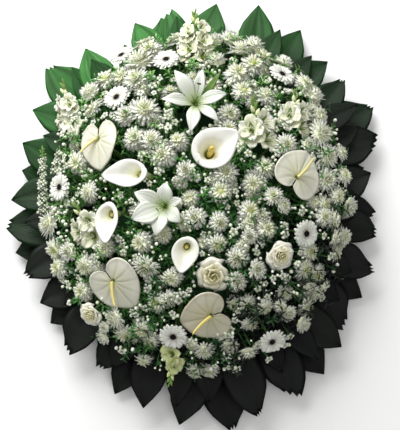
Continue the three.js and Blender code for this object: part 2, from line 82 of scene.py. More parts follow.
# Adds a part to a shape. A tint, ring or along that is given takes the place of the part's own.
def addPart(shape, part, matrix=None, tint=None, ring=None, along=None):
    points = part["points"]
    if matrix is not None:
        turn = np.array(matrix)
        points = points @ turn[:3, :3].T + turn[:3, 3]
    start = shape["count"]
    shape["points"].append(points)
    shape["faces"].extend([tuple(i + start for i in face) for face in part["faces"]])
    shape["count"] += len(points)
    for channel, value in zip(channels, (along, None, tint, ring)):
        shape[channel].append(part[channel] if value is None else np.full(len(points), value))


def spin(part, shape, angle, matrix=None, tint=0.5, ring=0.5):
    turn = Matrix.Rotation(angle, 4, "Z")
    addPart(shape, part, matrix @ turn if matrix is not None else turn, tint, ring)


def asPart(shape):
    return {"points": np.concatenate(shape["points"]), "faces": shape["faces"],
            **{c: np.concatenate(shape[c]) for c in channels}}


def partOf(points, faces, along, across):
    middle = np.full(len(points), 0.5)
    return {"points": np.array(points), "faces": faces, "along": np.array(along),
            "across": np.array(across), "tint": middle, "ring": middle}


# A thin closed skin over a grid of points: two faces that meet along the grid's edge.
def skin(grid, thickness):
    rows, cols, _ = grid.shape
    inner = (slice(1, -1), slice(1, -1))
    normal = np.cross(np.gradient(grid, axis=1), np.gradient(grid, axis=0))
    normal /= np.maximum(np.linalg.norm(normal, axis=2, keepdims=True), 1e-9)
    inside = np.zeros((rows, cols, 1))
    inside[inner] = 0.5 * thickness
    top = np.arange(rows * cols).reshape(rows, cols)
    low = top.copy()
    low[inner] = rows * cols + np.arange((rows - 2) * (cols - 2)).reshape(rows - 2, cols - 2)
    faces = []
    for i in range(rows - 1):
        for j in range(cols - 1):
            a, b, c, d = (i, j), (i, j + 1), (i + 1, j + 1), (i + 1, j)
            faces.append(tuple(int(top[k]) for k in (a, b, c, d)))
            faces.append(tuple(int(low[k]) for k in (a, d, c, b)))

    def bothSides(upper, lower, *width):
        return np.concatenate([upper.reshape(-1, *width), lower[inner].reshape(-1, *width)])

    along = np.repeat(np.linspace(0, 1, rows)[:, None], cols, 1)
    across = np.repeat(np.linspace(-1, 1, cols)[None, :], rows, 0)
    return partOf(bothSides(grid + normal * inside, grid - normal * inside, 3), faces,
                  bothSides(along, along), bothSides(across, across))


# A skin of rows from root to tip. rowAt takes the share of the length and gives what places a point of that
# row, from -1 at one edge to 1 at the other.
def sheet(look, rowAt, size=1):
    rows, cols = look["rows"], look["cols"]
    grid = np.zeros((rows, cols, 3))
    for i in range(rows):
        pointAt = rowAt(i / (rows - 1))
        for j in range(cols):
            grid[i, j] = pointAt(2 * j / (cols - 1) - 1)
    return skin(grid * size, look["thickness"])


# The faces of rings of points, one over the other, closed at both ends.
def ringFaces(rings, sides):
    faces = []
    for i in range(rings - 1):
        for k in range(sides):
            a, b = i * sides + k, i * sides + (k + 1) % sides
            faces.append((a, b, b + sides, a + sides))
    return faces + [tuple(reversed(range(sides))), tuple(range((rings - 1) * sides, rings * sides))]


# A closed round tube through points, with a radius at each.
def tube(path, radii, sides=6):
    path = [Vector(p) for p in path]
    side = Vector((0.31, 0.52, 0.79))  # a slant that no stem follows
    points, along, across = [], [], []
    for i, point in enumerate(path):
        ahead = (path[min(i + 1, len(path) - 1)] - path[max(i - 1, 0)]).normalized()
        side = (side - ahead * side.dot(ahead)).normalized()
        other = ahead.cross(side)
        for k in range(sides):
            angle = fullTurn * k / sides
            points.append(point + (side * cos(angle) + other * sin(angle)) * radii[i])
            along.append(i / (len(path) - 1))
            across.append(cos(angle))
    return partOf(points, ringFaces(len(path), sides), along, across)


# A knobbly closed dome or spike: rings of bumps set in a spiral.
def knobbly(profile, sides, bump):
    points, along = [], []
    for i, (radius, height) in enumerate(profile):
        for k in range(sides):
            angle = fullTurn * (k + 0.5 * (i % 2)) / sides
            r = max(0.02, radius * (1 + bump * (-1) ** (k + i)))
            points.append((r * cos(angle), r * sin(angle), height))
            along.append(i / (len(profile) - 1))
    return partOf(points, ringFaces(len(profile), sides), along, np.zeros(len(points)))


# A petal that leaves the centre outwards along +Y. lift and curl are degrees above the level and
# how far it bends down again by its tip.
def petal(length, width, lift, curl, start=0.0, rows=5, cols=3, tipWidth=0.1, baseWidth=0.45,
          widest=0.55, channel=0.25, ruffle=0.0, waves=3, notch=0.0, thickness=0.8, seed=0):
    phase = random.Random(seed).uniform(*anyTurn)
    grid = np.zeros((rows, cols, 3))
    y, z = start, 0.0
    for i in range(rows):
        v = i / (rows - 1)
        angle = radians(lift - curl * v)
        if i:
            y += cos(angle) * length / (rows - 1)
            z += sin(angle) * length / (rows - 1)
        if v < widest:
            half = baseWidth + (1 - baseWidth) * sin(v / widest * pi / 2)
        else:
            half = tipWidth + (1 - tipWidth) * cos((v - widest) / (1 - widest) * pi / 2) ** 0.8
        half *= width / 2
        for j in range(cols):
            u = 2 * j / (cols - 1) - 1
            rise = channel * half * u * u
            rise += ruffle * u * u * v * sin(waves * pi * v + phase + (1.6 if u > 0 else 0))
            back = notch * (1 - u * u) * v ** 6 - 0.35 * half * abs(u) ** 2.4 * v ** 6
            grid[i, j] = (u * half, y - sin(angle) * rise - back * cos(angle),
                          z + cos(angle) * rise - back * sin(angle))
    return skin(grid, thickness)


def placedIn(scene, name, data):
    holder = bpy.data.objects.new(name, data)
    scene.collection.objects.link(holder)
    return holder


# A piece of the wreath: the finished mesh, its material, a slot name that is not used, and the nodes it
# stands for.
def makePiece(name, shape, material, slotName, nodes=()):
    part = asPart(shape)
    mesh = bpy.data.meshes.new(name)
    mesh.from_pydata((part["points"] * 0.001).tolist(), [], part["faces"])
    for channel in channels:
        mesh.attributes.new(channel, "FLOAT", "POINT").data.foreach_set("value", part[channel])
    mesh.polygons.foreach_set("use_smooth", [True] * len(mesh.polygons))
    mesh.materials.append(material)
    piece = placedIn(bpy.context.scene, name, mesh)
    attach(piece, "root")
    if nodes:
        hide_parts(*nodes)


# A piece of a flower, from a shape or from one part and what addPart takes with it.
def pieceOf(flower, what, material, shape, *placing):
    if placing:
        part, shape = shape, newShape()
        addPart(shape, part, *placing)
    makePiece(f"{flower['slot']}{what}_{flower['number']}", shape, material, flower["slot"], flower["nodes"])


# The bloom surface, as the solids have it.
bloom = {
    "halfWidth": 406, "halfHeight": 472, "rimLevel": 108, "crownLevel": 258, "round": 2.2, "rise": 0.75,
    "stemTilt": 76, "faceTilt": 50, "faceDrop": 0.12, "lean": 1.2, "crownReach": 192, "rimReach": 250,
}


def placeOn(clock, share):
    x = bloom["halfWidth"] * share * sin(radians(clock))
    y = bloom["halfHeight"] * share * cos(radians(clock))
    height = max(0, 1 - share ** bloom["round"]) ** bloom["rise"]
    z = bloom["rimLevel"] + (bloom["crownLevel"] - bloom["rimLevel"]) * height
    outwards = Vector((x, y, 0)).normalized()

    def leaning(tilt):
        angle = radians(tilt) * share ** bloom["lean"]
        return up * cos(angle) + outwards * sin(angle)

    facing = leaning(bloom["faceTilt"])
    facing.y -= bloom["faceDrop"]
    reach = bloom["crownReach"] + (bloom["rimReach"] - bloom["crownReach"]) * share ** 2
    return {"at": Vector((x, y, z)), "facing": facing.normalized(), "stemWay": leaning(bloom["stemTilt"]),
            "reach": reach, "clock": clock, "share": share}


def placeOf(look):
    return placeOn(look["clock"], look["share"])


# The flowers of a kind: each with its names, its row of the table, its place and its random numbers.
def flowersOf(slotName, node, rows, seed=0, digits=1):
    for count, look in enumerate(rows, 1):
        number = str(count).zfill(digits)
        flower = {"slot": slotName, "number": number, "nodes": [f"{node}_{number}"]}
        yield flower, look, placeOf(look), random.Random(seed + count)


def nearness(place, other):
    return (place["at"] - other["at"]).length


def towards(roll):
    return Vector((sin(radians(roll)), cos(radians(roll)), 0))


def axesOf(xAxis, yAxis, zAxis, origin):
    matrix = Matrix((xAxis, yAxis, zAxis)).transposed().to_4x4()
    matrix.translation = origin
    return matrix


# A head's own axes: +Z the way it faces, +Y the way that roll points on the clock.
def frameOf(place, roll=0, lift=0):
    facing = place["facing"]
    way = towards(roll)
    yAxis = (way - facing * way.dot(facing)).normalized()
    return axesOf(yAxis.cross(facing), yAxis, facing, place["at"] + facing * lift)


def moved(offset):
    return Matrix.Translation(offset)


def raised(z):
    return moved((0, 0, z))


def scaled(size):
    return Matrix.Scale(size, 4)


def turned(angle, axis):
    return Matrix.Rotation(radians(angle), 4, axis)


# The turn that takes +Z to a direction.
def aimed(way):
    return up.rotation_difference(way).to_matrix().to_4x4()


def tipped(x, y, z):
    return Euler((x, y, z)).to_matrix().to_4x4()


# Where a frame has points given in its own axes, and where it has those of its +Z axis.
def through(matrix, *points):
    return [matrix @ Vector(point) for point in points]


def onAxis(matrix, *heights):
    return through(matrix, *((0, 0, z) for z in heights))


def below(place, depth):
    return place["at"] - place["stemWay"] * depth


# A stem from its hole in the foam, through depths below the head, to the points at its end.
def stem(place, depths, ends, radii, sides=8):
    return tube([below(place, depth) for depth in (place["reach"], *depths)] + ends, radii, sides)


def fromHex(code):
    parts = [int(code[i:i + 2], 16) / 255 for i in (1, 3, 5)]
    return [p / 12.92 if p <= 0.04045 else ((p + 0.055) / 1.055) ** 2.4 for p in parts] + [1.0]


# Adds a shader node. A setting goes to the socket of that name or, where there is none, to the node itself.
def addNode(tree, kind, settings=None, links=None):
    node = tree.nodes.new("ShaderNode" + kind)
    for key, value in (settings or {}).items():
        if key == "stops":
            ramp = node.color_ramp
            while len(ramp.elements) > 1:
                ramp.elements.remove(ramp.elements[-1])
            for i, (position, code) in enumerate(value.items()):
                stop = ramp.elements[0] if i == 0 else ramp.elements.new(position)
                stop.position = position
                stop.color = fromHex(code)
        elif isinstance(key, int) or key in node.inputs:
            node.inputs[key].default_value = value
        else:
            setattr(node, key, value)
    for key, source in (links or {}).items():
        tree.links.new(source, node.inputs[key])
    return node


def channelOf(tree, name):
    return addNode(tree, "Attribute", {"attribute_name": name}).outputs["Fac"]


def spotOf(tree):
    return addNode(tree, "TexCoord").outputs["Object"]


def rampOf(tree, stops, factor):
    return addNode(tree, "ValToRGB", {"stops": stops}, {"Fac": factor}).outputs["Color"]


def times(tree, first, second):
    settings = {"data_type": "RGBA", "blend_type": "MULTIPLY", "Factor": 1.0}
    return addNode(tree, "Mix", settings, {6: first, 7: second}).outputs[2]


def maths(tree, operation, *operands):
    numbers = {i: x for i, x in enumerate(operands) if isinstance(x, float)}
    sockets = {i: x for i, x in enumerate(operands) if i not in numbers}
    return addNode(tree, "Math", {"operation": operation, **numbers}, sockets).outputs[0]


def remap(tree, value, fromMin, fromMax, toMin, toMax):
    settings = {"From Min": fromMin, "From Max": fromMax, "To Min": toMin, "To Max": toMax}
    return addNode(tree, "MapRange", settings, {"Value": value}).outputs[0]


def cloudy(tree, scale, detail, spot, distortion=0.0):
    settings = {"Scale": scale, "Detail": detail, "Distortion": distortion}
    return addNode(tree, "TexNoise", settings, {"Vector": spot}).outputs["Fac"]


def stretched(tree, scale, spot):
    return addNode(tree, "Mapping", {"Scale": scale}, {"Vector": spot}).outputs[0]


def blankMaterial(name, settings):
    material = bpy.data.materials.new(name)
    material.use_nodes = True
    tree = material.node_tree
    tree.nodes.clear()
    shader = addNode(tree, "BsdfPrincipled", settings)
    addNode(tree, "OutputMaterial", None, {0: shader.outputs[0]})
    return material, tree, shader


# Gives a material its colour and its relief, of a depth in metres.
def surface(tree, shader, colour, height, relief, depth=0.0006):
    bump = addNode(tree, "Bump", {"Strength": relief, "Distance": depth}, {"Height": height})
    tree.links.new(colour, shader.inputs["Base Color"])
    tree.links.new(bump.outputs[0], shader.inputs["Normal"])


# What petals and leaves share: blotches, and ribs or veins from root to tip.
def tissue(name, look, settings, detail):
    material, tree, shader = blankMaterial(name, {
        "Roughness": look["roughness"], "Subsurface Weight": look["glow"], "Coat Weight": look["coat"],
        **settings})
    blotch = cloudy(tree, 1000 / look["blotch"], detail, spotOf(tree))
    wave = maths(tree, "COSINE", maths(tree, "MULTIPLY", channelOf(tree, "across"), look["veins"] * pi))
    return material, tree, shader, blotch, wave


# Living petal tissue: thin, waxy and a little see-through, with fine veins from root to tip.
# The numbers are roughness, glow, sheen, coat, blotch, veins, vein tone and relief.
def petalMaterial(name, numbers, rootToTip, innerToOuter, petalToPetal):
    look = table("roughness glow sheen coat blotch veins veinTone relief", numbers)[0]
    material, tree, shader, blotch, wave = tissue(name, look, {
        "IOR": 1.42, "Subsurface Radius": (1.0, 0.98, 0.9), "Subsurface Scale": 0.004,  # plant tissue
        "Sheen Weight": look["sheen"], "Sheen Roughness": 0.4, "Coat Roughness": 0.25}, 3.0)
    wander = maths(tree, "MULTIPLY_ADD", blotch, 0.18, -0.09)
    colour = rampOf(tree, rootToTip, maths(tree, "ADD", channelOf(tree, "along"), wander))
    colour = times(tree, colour, rampOf(tree, innerToOuter, channelOf(tree, "ring")))
    colour = times(tree, colour, rampOf(tree, petalToPetal, channelOf(tree, "tint")))
    colour = times(tree, colour, remap(tree, wave, 0.55, 1.0, 1.0, 1 - look["veinTone"]))
    grain = maths(tree, "MULTIPLY_ADD", blotch, 0.6, wave)
    surface(tree, shader, colour, grain, look["relief"])
    return material


# White florist's chrysanthemum petals: matt, white at the tips with a trace of green, lime in the heart.
chrysanthemumPetal = petalMaterial(
    "chrysanthemumPetal", (0.6, 0.5, 0.2, 0.0, 9, 3, 0.04, 0.15),
    {0: "#dfe2ae", 0.22: "#f1f4d6", 0.5: "#f6f9e7", 1: "#fafdf3"},
    {0: "#ebeec6", 0.4: "#f8fae6", 0.75: "#ffffff"}, {0: "#f1f1e6", 0.5: "#fbfbf4", 1: "#ffffff"})
# White gerbera: satin petals with a faint pink-grey root.
gerberaPetal = petalMaterial(
    "gerberaPetal", (0.5, 0.2, 0.1, 0.05, 12, 4, 0.08, 0.35),
    {0: "#c9bdb2", 0.14: "#e6e0d8", 0.34: "#f2f4ea", 1: "#f7faf1"},
    {0: "#efe9df", 1: "#ffffff"}, {0: "#eeeee6", 1: "#ffffff"})
# Anthurium spathe: a thick waxy leaf, ivory with a greyish bloom and sunken veins, under a clear gloss. The
# darker lines along the veins are partly the veins' own tone and partly painted shade in their hollows.
anthuriumSpathe = petalMaterial(
    "anthuriumSpathe", (0.36, 0.1, 0.0, 0.18, 22, 11, 0.1, 0.5),
    {0: "#c3c498", 0.24: "#d3d5bc", 0.8: "#dfe0d2", 1: "#d8d8c9"},
    {0: "#d8d5bf", 1: "#ffffff"}, {0: "#d9d1bf", 1: "#ffffff"})
# Calla spathe: thick and smooth as kid leather, white with an olive cream throat and a green foot.
callaSpathe = petalMaterial(
    "callaSpathe", (0.42, 0.3, 0.05, 0.08, 18, 9, 0.03, 0.08),
    {0: "#a2bb6c", 0.3: "#d2dc9c", 0.44: "#e6e8c2", 0.6: "#eeeee0", 1: "#f1f1ea"},
    {0: "#efe9c0", 1: "#ffffff"}, {0: "#f0eee2", 1: "#ffffff"})
# Lily tepals: white, satin, green along the throat.
lilyTepal = petalMaterial(
    "lilyTepal", (0.45, 0.2, 0.05, 0.08, 14, 5, 0.07, 0.4),
    {0: "#a9bd6c", 0.22: "#d2dfb4", 0.45: "#e4e9db", 1: "#edefe8"},
    {0: "#f2f2e2", 1: "#ffffff"}, {0: "#eef0e6", 1: "#ffffff"})
# Cream rose petals: velvety, warmer in the heart.
rosePetal = petalMaterial(
    "rosePetal", (0.62, 0.15, 0.3, 0.0, 16, 4, 0.05, 0.2),
    {0: "#cfd09a", 0.4: "#eeecd2", 1: "#f8f7ec"},
    {0: "#ece8bc", 0.5: "#f8f6e4", 1: "#ffffff"}, {0: "#eeeadb", 1: "#ffffff"})
# Gladiolus florets: thin and crinkled, cream with a lime throat.
gladiolusPetal = petalMaterial(
    "gladiolusPetal", (0.52, 0.25, 0.1, 0.0, 11, 6, 0.07, 0.35),
    {0: "#bcc676", 0.24: "#e2e6bc", 0.5: "#f2f4e0", 1: "#f9faf0"},
    {0: "#f3f3dc", 1: "#ffffff"}, {0: "#d9dfae", 0.5: "#f4f4e4", 1: "#ffffff"})
# Stock and waxflower petals: small, waxy, greenish white.
smallPetal = petalMaterial(
    "waxyWhitePetal", (0.48, 0.2, 0.05, 0.1, 6, 2, 0.05, 0.2),
    {0: "#93a866", 0.2: "#dde3c4", 0.42: "#f3f5ea", 1: "#fafbf5"},
    {0: "#dfe6c8", 1: "#ffffff"}, {0: "#e7ecd9", 1: "#ffffff"})


# Green tissue: a stem, a leaf or a bud, with darker and lighter patches and lengthwise ribs.
# The numbers are roughness, glow, coat, shine, blotch, veins, vein tone and relief.
def greenMaterial(name, numbers, darkToLight, patch, paintedSheenStreaks=None):
    look = table("roughness glow coat shine blotch veins veinTone relief", numbers)[0]
    material, tree, shader, blotch, wave = tissue(name, look, {
        "IOR": 1.45, "Subsurface Radius": (0.5, 1.0, 0.3), "Subsurface Scale": 0.002,
        "Coat Roughness": 0.3, "Specular IOR Level": look["shine"]}, 4.0)
    tint = channelOf(tree, "tint")
    colour = times(tree, rampOf(tree, darkToLight, tint), rampOf(tree, {0.3: patch, 0.7: "#ffffff"}, blotch))
    colour = times(tree, colour, remap(tree, wave, -1.0, 1.0, 1 - look["veinTone"], 1.0))
    if paintedSheenStreaks:  # painted sheen: long pale streaks from foot to tip, others on each leaf
        spread = addNode(tree, "CombineXYZ", None, {"X": channelOf(tree, "across"), "Y": tint}).outputs[0]
        sheenStreak = cloudy(tree, 1.0, 2.0, stretched(tree, (2.6, 40.0, 1.0), spread))
        colour = times(tree, colour, rampOf(tree, paintedSheenStreaks, sheenStreak))
    grain = maths(tree, "MULTIPLY_ADD", blotch, 0.5, wave)
    surface(tree, shader, colour, grain, look["relief"])
    return material


# Ti leaf: leathery and waxed, dark green with parallel veins about 4 mm apart and long pale streaks of
# painted sheen.
tiLeafBlade = greenMaterial(
    "waxedTiLeaf", (0.46, 0.0, 0.04, 0.2, 60, 22, 0.22, 0.45),
    {0: "#06080a", 0.3: "#0e1f0e", 0.65: "#275f25", 1: "#69b866"}, "#d8dfcf",
    {0.36: "#a3ab9b", 0.56: "#e2e8dc", 0.68: "#ffffff"})
freshStem = greenMaterial(
    "cutGreenStem", (0.5, 0.1, 0.05, 0.5, 14, 3, 0.1, 0.3),
    {0: "#0f210d", 0.5: "#3a672a", 1: "#86a850"}, "#d9ddc8")
fillerLeaf = greenMaterial(
    "fillerFoliage", (0.5, 0.1, 0.08, 0.5, 8, 2, 0.12, 0.3),
    {0: "#0d1f0c", 0.3: "#285c24", 0.6: "#4f9440", 1: "#9ccf78"}, "#cfd8c4")
gerberaEye = greenMaterial(
    "gerberaEye", (0.75, 0.0, 0.0, 0.15, 2, 0, 0.0, 0.8),
    {0: "#120d0c", 0.5: "#1d1513", 1: "#5b4a35"}, "#8c8078")
mumHeart = greenMaterial(
    "chrysanthemumHeart", (0.7, 0.1, 0.0, 0.5, 2, 0, 0.0, 0.8), {0: "#a9b356", 1: "#dbe09a"}, "#c9cfa8")
spadixSkin = greenMaterial(
    "spadixSkin", (0.55, 0.15, 0.05, 0.5, 2, 0, 0.0, 0.9),
    {0: "#e2dba6", 0.5: "#ece08e", 1: "#dfc24a"}, "#e6dcb4")
lilyAnther = greenMaterial(
    "lilyAnther", (0.85, 0.0, 0.0, 0.5, 1.5, 0, 0.0, 0.8), {0: "#2a1710", 1: "#4a2c18"}, "#a89888")


# Wet floral foam: open cells about 1 mm across, crumbly where the stems go in.
def foamMaterial():
    material, tree, shader = blankMaterial("wetFloralFoam", {"Roughness": 0.9, "IOR": 1.33})
    spot = spotOf(tree)
    cells = addNode(tree, "TexVoronoi", {"Scale": 450.0}, {"Vector": spot}).outputs["Distance"]
    damp = rampOf(tree, {0.3: "#16301a", 0.7: "#2c5230"}, cloudy(tree, 12.0, 4.0, spot))
    surface(tree, shader, damp, cells, 0.8, 0.001)
    return material


# Plywood: pale rotary-cut veneer, with grain lines 3 to 6 mm apart along the board.
def plywoodMaterial():
    material, tree, shader = blankMaterial("birchPlywood", {"Roughness": 0.62, "IOR": 1.5})
    grain = cloudy(tree, 7.0, 6.0, stretched(tree, (30.0, 2.5, 30.0), spotOf(tree)), 0.6)
    veneer = rampOf(tree, {0.3: "#8f6b40", 0.5: "#bd9762", 0.72: "#d3b07c"}, grain)
    surface(tree, shader, veneer, grain, 0.25, 0.0004)
    return material


# Florist's stub wire: green lacquer over drawn steel, rubbed in places.
def wireMaterial():
    material, tree, shader = blankMaterial("lacqueredWire", {"Metallic": 0.35, "IOR": 1.5})
    rub = cloudy(tree, 260.0, 3.0, spotOf(tree))
    tree.links.new(rampOf(tree, {0.4: "#23402c", 0.72: "#4e6a57"}, rub), shader.inputs["Base Color"])
    tree.links.new(remap(tree, rub, 0.0, 1.0, 0.25, 0.55), shader.inputs["Roughness"])
    return material


for node, material in (("floral_foam_pad", foamMaterial()), ("backing_board", plywoodMaterial()),
                       ("hanging_loop", wireMaterial())):
    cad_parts[node].data.materials.clear()
    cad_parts[node].data.materials.append(material)
print("materials ready")


# Of each leaf: where its tip points on the clock, how far it reaches, its width and how much of it is left.
collar = [
    [[342, 552, 96, 1], [350, 570, 124, 0.93], [6, 588, 110, 1]],
    [[17, 602, 104, 1], [29, 594, 106, 1], [42, 550, 98, 1]],
    [[49, 534, 92, 0.97], [59, 562, 124, 0.97], [70, 520, 116, 0.93]],
    [[81, 482, 98, 1], [91, 478, 106, 0.95], [100, 484, 98, 0.95]],
    [[109, 496, 100, 0.96], [118, 508, 94, 1], [129, 508, 116, 0.94]],
    [[135, 542, 106, 1], [145, 566, 112, 1], [155, 566, 116, 0.93]],
    [[164, 584, 112, 0.97], [173, 604, 122, 0.97], [184, 594, 106, 1]],
    [[194, 566, 98, 1], [202, 554, 94, 1], [211, 508, 98, 0.95]],
    [[221, 522, 104, 0.94], [230, 508, 104, 1], [239, 498, 104, 1]],
    [[247, 498, 98, 0.96], [255, 512, 104, 1], [263, 518, 112, 0.95]],
    [[272, 508, 98, 1], [281, 498, 98, 1], [290, 516, 102, 1]],
    [[300, 528, 102, 1], [313, 580, 126, 0.96], [326, 552, 104, 1]],
]
tiLeaf = {
    "tiers": [68, 25, 47], "pickLevel": 34, "inFoam": 46, "outOfFoam": 22, "rows": 24, "cols": 11,
    "thickness": 1.5, "fold": 0.12, "midrib": 1.6, "wave": 2.4, "skew": 0.16, "jag": 6, "droop": 5,
    "shape": [(0, 0.08), (0.14, 0.44), (0.34, 0.84), (0.48, 0.96), (0.64, 1), (0.74, 0.96), (0.82, 0.8),
              (0.92, 0.4), (1, 0.02)],  # half width as a share of the widest, foot to point
}
foamHalfWidth, foamHalfHeight = 250, 277


def foamShare(way):
    return hypot(way.x / foamHalfWidth, way.y / foamHalfHeight)


# Leaves at the wreath's head are painted lighter, as painted light where the key light falls, and those at
# its foot darker, as painted shade; each also differs a little at random.
def leafTone(clock, rng):
    lightest = 0.5 + 0.5 * cos(radians(clock - 340))
    return 0.06 + 0.8 * lightest ** 2.2 + rng.uniform(-0.05, 0.08)


def leafBlade(start, clock, reach, width, trimmed, level, rng, foot=0.0):
    tip = towards(clock) * reach
    run = Vector((tip.x - start.x, tip.y - start.y, 0))
    side = Vector((-run.y, run.x, 0)).normalized()
    phase, twist = rng.uniform(*anyTurn), sway(rng, 0.1)
    slant, skew = rng.choice((-1, 1)) * rng.uniform(0.3, 0.7), sway(rng, 1)

    def rowAt(share):
        t = share * trimmed
        settle = sin(min(1, t / 0.42) * pi / 2)
        middle = start + run * share
        middle.z = start.z + (level - start.z) * settle
        middle.z -= tiLeaf["droop"] * max(0, share - 0.75) / 0.25 * (0.5 + twist * 4)
        middle += side * (tiLeaf["skew"] * skew * width * share ** 3)
        half = width / 2 * max(foot * (1 - t), np.interp(t, *zip(*tiLeaf["shape"])))

        def pointAt(u):
            ripple = sin(7.5 * share + phase + (1.1 if u > 0 else 0)) * min(1, share * 3)
            rise = tiLeaf["fold"] * half * abs(u) - tiLeaf["midrib"] * exp(-abs(u) * 9)
            rise += tiLeaf["wave"] * u * u * ripple
            rise += twist * u * half * share * 0.6
            cut = slant * u * half + tiLeaf["jag"] * (abs((1.3 * u + phase) % 1 - 0.5) * 4 - 1)
            point = middle + side * (u * half) + run.normalized() * (cut * share ** 9 if trimmed < 1 else 0)
            return point.x, point.y, point.z + rise

        return pointAt

    return sheet(tiLeaf, rowAt)


for fan, leaves in enumerate(collar):
    rng = random.Random(100 + fan)
    way = towards(leaves[1][0])
    foamReach = 1 / foamShare(way)
    level = Vector((0, 0, tiLeaf["pickLevel"]))
    pickTip = way * (foamReach + tiLeaf["outOfFoam"]) + level
    shape = newShape()
    addPart(shape, tube([way * (foamReach - tiLeaf["inFoam"]) + level, pickTip], [3.4, 3.2], 8), tint=0.4)
    for (clock, reach, width, trimmed), tier in zip(leaves, tiLeaf["tiers"]):
        blade = leafBlade(pickTip - way * 6, clock, reach, width, trimmed, tier, rng)
        addPart(shape, blade, tint=leafTone(clock, rng))
    makePiece(f"tiLeafFan_{fan + 1:02d}", shape, tiLeafBlade, "leaf", [f"ti_leaf_fan_{fan + 1:02d}"])

# A second row is tucked behind the first, and fills the gaps between its tips. These are folded broad at the
# foot, against the foam, so that nothing behind the wreath shows between the flowers.
tuckedLeaves = {"every": 10, "first": 5, "reach": 0.93, "width": 78, "foot": 0.85, "levels": [58, 36, 80]}
tips = sorted((leaf[0], leaf[1]) for fan in collar for leaf in fan)
for quarter in range(4):
    shape = newShape()
    rng = random.Random(140 + quarter)
    for step in range(0, 90, tuckedLeaves["every"]):
        clock = quarter * 90 + step + tuckedLeaves["first"]
        layer = step // 10 % 3
        start = towards(clock) / foamShare(towards(clock))
        start.z = 15 + 5 * layer
        blade = leafBlade(
            start, clock + sway(rng, 3),
            np.interp(clock, *zip(*tips)) * (tuckedLeaves["reach"] + rng.uniform(-0.05, 0.02)),
            tuckedLeaves["width"] + sway(rng, 8), 1, tuckedLeaves["levels"][layer], rng,
            tuckedLeaves["foot"])
        # the tucked leaves are painted a fifth darker still, as painted shade behind the first row
        addPart(shape, blade, tint=leafTone(clock, rng) * 0.8)
    makePiece(f"tuckedTiLeaves_{quarter + 1}", shape, tiLeafBlade, "leaf")
print("leaf collar done")


heart = [1, 0.88, 0.82, 0.8, 0.8, 0.78, 0.7, 0.5, 0.24]  # outline from the tip round to the notch
anthuriums = table(
    "clock share roll length width spadixRoll lift tint gold",
    (295, 0.68, 174, 90, 0.76, 215, 26, 0.6, 0.1),
    (84, 0.61, 32, 86, 1, 34, 26, 0.7, 0.15),
    (227, 0.705, 150, 92, 0.96, 172, 28, 0.7, 0.4),
    (173, 0.675, 248, 84, 1, 228, 25, 0.2, 0.6))
spathe = {"rows": 15, "cols": 73, "thickness": 1.4, "cup": 0.16, "veinDepth": 2.6, "veinBend": 16,
          "spadixLength": 68, "spadixRise": 30, "bow": 3.5, "veins": (0, 32.4, 64.7, 97.1, 129.5, 161.8)}


def heartSpathe(length, width, phase):
    rows, cols = spathe["rows"], spathe["cols"]
    steps = np.arange(len(heart)) * 180 / (len(heart) - 1)
    grid = np.zeros((rows, cols, 3))
    for j in range(cols):
        angle = -178 + 356 * j / (cols - 1)
        around = (max(0, abs(angle) - 9), abs(angle), min(180, abs(angle) + 9))
        before, here, after = np.interp(around, steps, heart)
        outline = 0.5 * here + 0.25 * (before + after)
        for i in range(rows):
            v = 0.03 + 0.97 * i / (rows - 1)
            r = v * length * outline
            bend = spathe["veinBend"] * (1 - v) * sin(radians(angle))
            a = radians(angle * (1 - 0.06 * (1 - v)) - bend)
            x, y = r * width * sin(a), r * cos(a)
            z = -spathe["cup"] * length * (r / length) ** 2 - 5 * v * exp(-abs(x) / 10)
            for vein in spathe["veins"]:
                off = abs(abs(angle) - vein) * radians(1) * r
                z -= spathe["veinDepth"] * exp(-(off / 3.2) ** 2) * (1 - v ** 3) * (1.2 if vein == 0 else 1)
            z += 1.8 * sin(a * 5 + phase) * v ** 3 + 3.0 * max(0, v - 0.85) / 0.15 * (abs(angle) > 40)
            grid[i, j] = (x, y, z)
    return skin(grid, spathe["thickness"])


# A spadix narrows by taper from its foot and rounds off at its tip.
def spadixOf(length, radius, taper, size, bluntness, tip, steps, bump):
    profile = []
    for t in [k / steps for k in range(steps + 1)]:
        wide = (radius - taper * t) * size * min(1, (1 - t) * bluntness + tip)
        profile.append((0.3 if t in (0, 1) else wide, t * length))
    return knobbly(profile, 16, bump)


for flower, look, place, _ in flowersOf("anthurium", "anthurium", anthuriums):
    matrix = frameOf(place, look["roll"], look["lift"])
    blade = heartSpathe(look["length"], look["width"], int(flower["number"]))
    pieceOf(flower, "Spathe", anthuriumSpathe, blade, matrix, look["tint"], 1.0)
    long, rise = spathe["spadixLength"], spathe["spadixRise"]
    swing = frameOf(place, look["spadixRoll"], look["lift"])
    lean = Matrix.Rotation(-atan2(sqrt(long ** 2 - rise ** 2), rise), 4, "X")
    spadix = spadixOf(long, radius=4.6, taper=2.0, size=1, bluntness=9, tip=0.25, steps=30, bump=0.07)
    run = spadix["points"][:, 2] / long
    spadix["points"][:, 0] += spathe["bow"] * 4 * run * (1 - run)
    pieceOf(flower, "Spadix", spadixSkin, spadix, swing @ lean, look["gold"])
    stalk = stem(place, [38], [matrix.translation + place["facing"] * -1.5], [3, 3, 2.4])
    pieceOf(flower, "Stem", freshStem, stalk, None, 0.6)


callas = table(
    "clock share roll size width lift nod tint spadixTop spadixLean gold",
    (17, 0.19, 62, 1.12, 0.96, 40, 8, 1.0, 2, 16, 0.8),
    (281, 0.41, 268, 1, 0.74, 34, -18, 0.9, -44, 2, 0.25),
    (256, 0.57, 180, 0.9, 0.76, 34, 0, 0.7, -40, 2, 0.25),
    (192, 0.335, 192, 0.78, 0.88, 34, 0, 0.6, -34, 2, 0.5))
funnel = {"heights": [-96, -70, -40, -14, -2], "radii": [6, 10, 13.5, 30, 47], "push": [0, 0, 0, 7, 14],
          "raise": [0, 0, 0, 6, 10], "rows": 26, "cols": 61, "wrap": 196, "thickness": 1.8}


